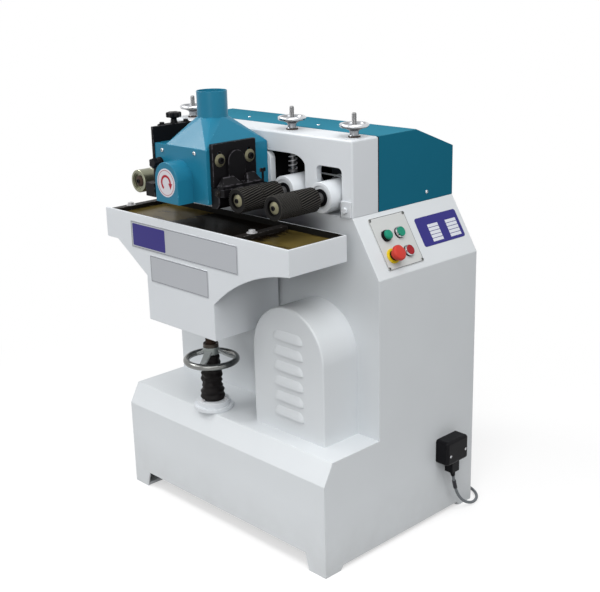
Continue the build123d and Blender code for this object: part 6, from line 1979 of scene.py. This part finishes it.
@dataclass
class Console:
    """Sloped control panel with its buttons and the plain name plate."""

    at: Point = (390, 0, 712)
    slope: Point = (-0.5145, 0, 0.8575)
    normal: Point = (0.8575, 0, 0.5145)
    plate_middle: Flat = (17.5, 84)
    plate_size: Flat = (131, 136)
    plate_thick: float = 2.0
    bezel_radius: float = 14.5
    bezel_tall: float = 9.0
    cap_radius: float = 12.4
    green_1_at: Flat = (-11.5, 101)
    green_2_at: Flat = (36.5, 101)
    red_at: Flat = (42.5, 51)
    stop_at: Flat = (-16, 49)
    name_low: Flat = (108.0, 47.0)
    name_size: Flat = (162.0, 77.0)
    name_columns: tuple[Flat, ...] = ((38, 78), (108, 150))
    name_rows: int = 5
    row_low: float = 8.0
    row_pitch: float = 9.6
    row_tall: float = 8.0

    def spot(self, across: float, up: float, out: float = 0.0) -> Point:
        """Point across the console along Y, up its slope and out from it."""
        return tuple(Vector(self.at) + Vector(BACK) * across + Vector(self.slope) * up + Vector(self.normal) * out)

    def lay(self, across: float, up: float, out: float = 0.0) -> Matrix:
        """Place that lays +X across the console and +Y up it."""
        return laid_on(self.spot(across, up, out), BACK, self.slope)

    def build(self) -> None:
        """Make the console's pieces."""
        self.plate()
        self.bezels()
        self.button("green_button_1", self.green_1_at, GREEN_PLASTIC, Slot.GREEN, out=17.0, domed=True)
        self.button("green_button_2", self.green_2_at, GREEN_PLASTIC, Slot.GREEN, out=12.0)
        self.button("red_button", self.red_at, RED_PLASTIC, Slot.RED, out=10.0)
        self.stop()
        self.name_plate()

    def plate(self) -> None:
        """Make the control plate with its printed border and screws."""
        wide, tall = (size / 2 for size in self.plate_size)
        plate = Shape.panel((-wide, -tall), (wide, tall), self.plate_thick, radius=5.0, segments=5)
        plate.soften(0.6, angle=60).border(gap=0.5, line=1.1).place(self.lay(*self.plate_middle))
        plate.make("control_panel_plate", (PANEL_PLATE, DARK_LINE), "frame", Slot.PANEL, ("control_plate",))
        across, up = self.plate_middle
        corners = [(across + side * (wide - 5), up + end * (tall - 5)) for side in (-1, 1) for end in (-1, 1)]
        spots = [self.spot(*corner, self.plate_thick) for corner in corners]
        screws = Fastener.row(partial(Fastener.pan_screw, radius=4.2, height=2.4), spots, self.normal)
        # The screws take the darker, shaded copy of the chrome.
        screws.make("control_panel_screws", (SHADED_CHROME, DARK_GAP), "frame", Slot.CHROME)

    def bezels(self) -> None:
        """Make the button bezels and the stop button's yellow collar."""
        rings = Shape()
        r, tall, hole, seat = self.bezel_radius, self.bezel_tall, self.cap_radius + 0.4, self.plate_thick
        base = [(hole + 0.2, 0), (r, 0), (r, 0.45 * tall), (hole + 0.2, 0.45 * tall)]
        ring = [(hole, 0.4 * tall), (r - 0.3, 0.4 * tall), (r - 0.3, 0.8 * tall), (r - 1.2, tall), (hole, tall)]
        collar = [(13.4, 0), (19, 0), (19, 4.0), (18, 5.0), (13.4, 5.0)]
        for middle, finish in ((self.green_1_at, 1), (self.green_2_at, 0), (self.red_at, 0)):
            spot = self.spot(*middle, seat)
            rings.add(Shape.turned(base, closed=True).tint(1).at(spot, self.normal))
            rings.add(Shape.turned(ring, closed=True).tint(finish).at(spot, self.normal))
        rings.add(Shape.turned(collar, closed=True).tint(2).at(self.spot(*self.stop_at, seat), self.normal))
        finishes = (CHROME, BLACK_PLASTIC, COLLAR_YELLOW)
        rings.make("button_bezel_rings", finishes, "frame", Slot.BEZEL, ("button_bezels",))

    def button(
        self, name: str, middle: Flat, finish: Finish, slot: Slot, out: float, domed: bool = False
    ) -> None:
        """Make a push button's cap and stem.

        Args:
            name: the CAD node and body of the button.
            middle: its place on the console.
            finish: its finish.
            slot: the record's material slot.
            out: how far the cap stands out of the plate.
            domed: whether the cap has a domed top.
        """
        r, top = self.cap_radius, self.plate_thick + out
        if domed:
            crown = [(r, top - 6), (r - 0.7, top - 3.2), (r - 2.6, top - 1.2), (r - 6, top - 0.3), (0, top)]
        else:
            crown = [(r, top - 1.0), (r - 0.6, top - 0.3), (r - 1.6, top), (r - 2.4, top - 0.5), (0, top - 0.7)]
        profile = [(0, -22), (8, -22), (8, 0), (r, 0), *crown]
        made = Shape.turned(profile, steps=48).at(self.spot(*middle), self.normal)
        made.make(f"{name}_cap", finish, name, slot, (name,))

    def stop(self) -> None:
        """Make the mushroom-headed emergency stop."""
        foot = [(0, -22), (8, -22), (8, 0), (13, 0), (13, 12.4), (14, 12.8), (14.6, 19), (15, 21)]
        head = [(18.2, 21.2), (19.5, 22.6), (19.5, 27), (18.8, 29.4), (16.5, 31.6), (12, 32.7), (0, 33)]
        made = Shape.turned(foot + head, steps=56).tint(1, lambda spot: spot.z < 9)
        made.at(self.spot(*self.stop_at), self.normal)
        made.make("emergency_stop_head", (STOP_RED, BLACK_PLASTIC), "emergency_stop", Slot.RED, ("emergency_stop",))

    def name_plate(self) -> None:
        """Make the blue name plate with plain white boxes."""
        plate = Shape.panel((0, 0), self.name_size, depth=0.8, radius=7.0, segments=6).soften(0.3, angle=60, segments=1)
        for left, right in self.name_columns:
            for row in range(self.name_rows):
                low = self.row_low + row * self.row_pitch
                field = Shape.plate(rectangle((left, low), (right, low + self.row_tall)), depth=0.2)
                plate.add(field.tint(1).at((0, 0, 0.75)))
        plate.place(self.lay(*self.name_low))
        plate.make("plain_name_plate", (PLATE_BLUE, PLATE_WHITE), "frame", Slot.PANEL)


@dataclass
class Studio:
    """Floor, soft light and the camera at the photograph's place."""

    eye: Point = (2.0245, -1.9145, 1.4282)
    right: Point = (0.6961, 0.7176, -0.0236)
    upward: Point = (-0.1942, 0.2199, 0.9560)
    backward: Point = (0.6912, -0.6609, 0.2925)
    lens: float = 64.55
    sensor: float = 36.0
    world: float = 0.49
    floor_tone: float = 0.5
    floor_glow: float = 0.55
    floor_size: float = 9.0
    floor_drop: float = 0.0005
    floor_fade: Flat = (0.6, 1.7)
    lamps: tuple[tuple[str, Point, Point, float, float], ...] = (
        ("key_light", (-1.5, -3.2, 3.0), (0.0, -0.25, 0.5), 2.2, 34.0),
        ("right_light", (1.7, -0.7, 3.2), (0.0, 0.0, 0.6), 2.2, 61.0),
        ("left_light", (-2.15, -1.25, 2.95), (-0.07, -0.2, 1.0), 0.85, 37.0),
        ("fill_light", (1.9, -3.3, 1.9), (0.0, 0.0, 0.6), 2.4, 37.0),
    )

    def build(self) -> None:
        """Set the camera, light and floor."""
        camera = linked("camera", bpy.data.cameras.new("camera"))
        camera.data.lens = self.lens
        camera.data.sensor_width = self.sensor
        turn = Matrix((self.right, self.upward, self.backward)).transposed().to_4x4()
        camera.matrix_world = Matrix.Translation(self.eye) @ turn
        bpy.context.scene.camera = camera
        bpy.context.scene.view_settings.view_transform = "Standard"
        for name, spot, aim, size, power in self.lamps:
            lamp = bpy.data.lights.new(name, "AREA")
            lamp.size = size
            lamp.energy = power
            linked(name, lamp).matrix_world = turned_to(spot, tuple(Vector(spot) - Vector(aim)))
        self.backdrop()
        self.floor()

    def backdrop(self) -> None:
        """White round about for the camera, softer as a light."""
        world = bpy.data.worlds.new("studio")
        world.use_nodes = True
        bpy.context.scene.world = world
        bench = Bench(world.node_tree)
        level = bench.node("ShaderNodeMapRange", {"Value": bench.seen(), "To Min": self.world, "To Max": 1.0})
        white = {"Color": (1.0, 1.0, 1.0, 1.0), "Strength": level.outputs[0]}
        bench.fill(world.node_tree.nodes["Background"], white)

    def floor(self) -> None:
        """Pale floor that keeps the shadow."""
        shape = bmesh.new()
        bmesh.ops.create_grid(shape, x_segments=1, y_segments=1, size=self.floor_size)
        mesh = bpy.data.meshes.new("studio_floor")
        shape.to_mesh(mesh)
        shape.free()
        made = bpy.data.materials.new("pale_floor")
        made.use_nodes = True
        bench = Bench(made.node_tree)
        spot = bench.node("ShaderNodeTexCoord").outputs["Object"]
        fade = bench.step(bench.length(spot), *self.floor_fade)
        looks = {
            "Base Color": bench.mix(fade, (*(self.floor_tone,) * 3, 1.0), (0.0, 0.0, 0.0, 1.0)),
            "Roughness": 0.8,
            "Specular IOR Level": 0.0,
            "Emission Color": bench.mix(fade, (*(self.floor_glow,) * 3, 1.0), (1.0, 1.0, 1.0, 1.0)),
            "Emission Strength": bench.seen(),
        }
        bench.fill(made.node_tree.nodes["Principled BSDF"], looks)
        mesh.materials.append(made)
        piece = linked("studio_floor", mesh)
        piece.location.z = -self.floor_drop


def dress_nodes(nodes: dict[str, Piece]) -> None:
    """Give every CAD node the finish of its material slot.

    Args:
        nodes: the CAD nodes by name.
    """
    for node in nodes.values():
        for holder in node.material_slots:
            name = holder.material.name.split(".")[0] if holder.material else ""
            if name in {slot.value for slot in Slot}:
                holder.material = FINISH_OF_SLOT[Slot(name)].material()
            else:
                LOG.warning("node %s has material %s", node.name, name)


def main() -> None:
    """Load the frame and build every sub-assembly in order."""
    logging.basicConfig(level=logging.INFO, format="%(name)s: %(message)s")
    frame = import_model()
    Shape.nodes = frame["nodes"]
    Studio().build()
    PowerLead().build()
    dress_nodes(frame["nodes"])
    Cabinet().build()
    Bridge().build()
    Hood().build()
    ShoeWorks().build()
    stations = (
        (Station.INFEED_1, 100.0, 57.0, (32, 32)),
        (Station.INFEED_2, 228.0, 271.0, (64, 32)),
        (Station.OUTFEED, -296.0, -339.0, (0, 0)),
    )
    for station, roller_x, _, flutes in stations:
        FeedRoller(station, roller_x, flutes=flutes).build()
    for station, roller_x, rod_x, _ in stations:
        PressureSet(station, rod_x, roller_x).build()
    Table().build()
    Lift().build()
    Console().build()
    bpy.context.view_layer.update()


if __name__ == "__main__":
    main()
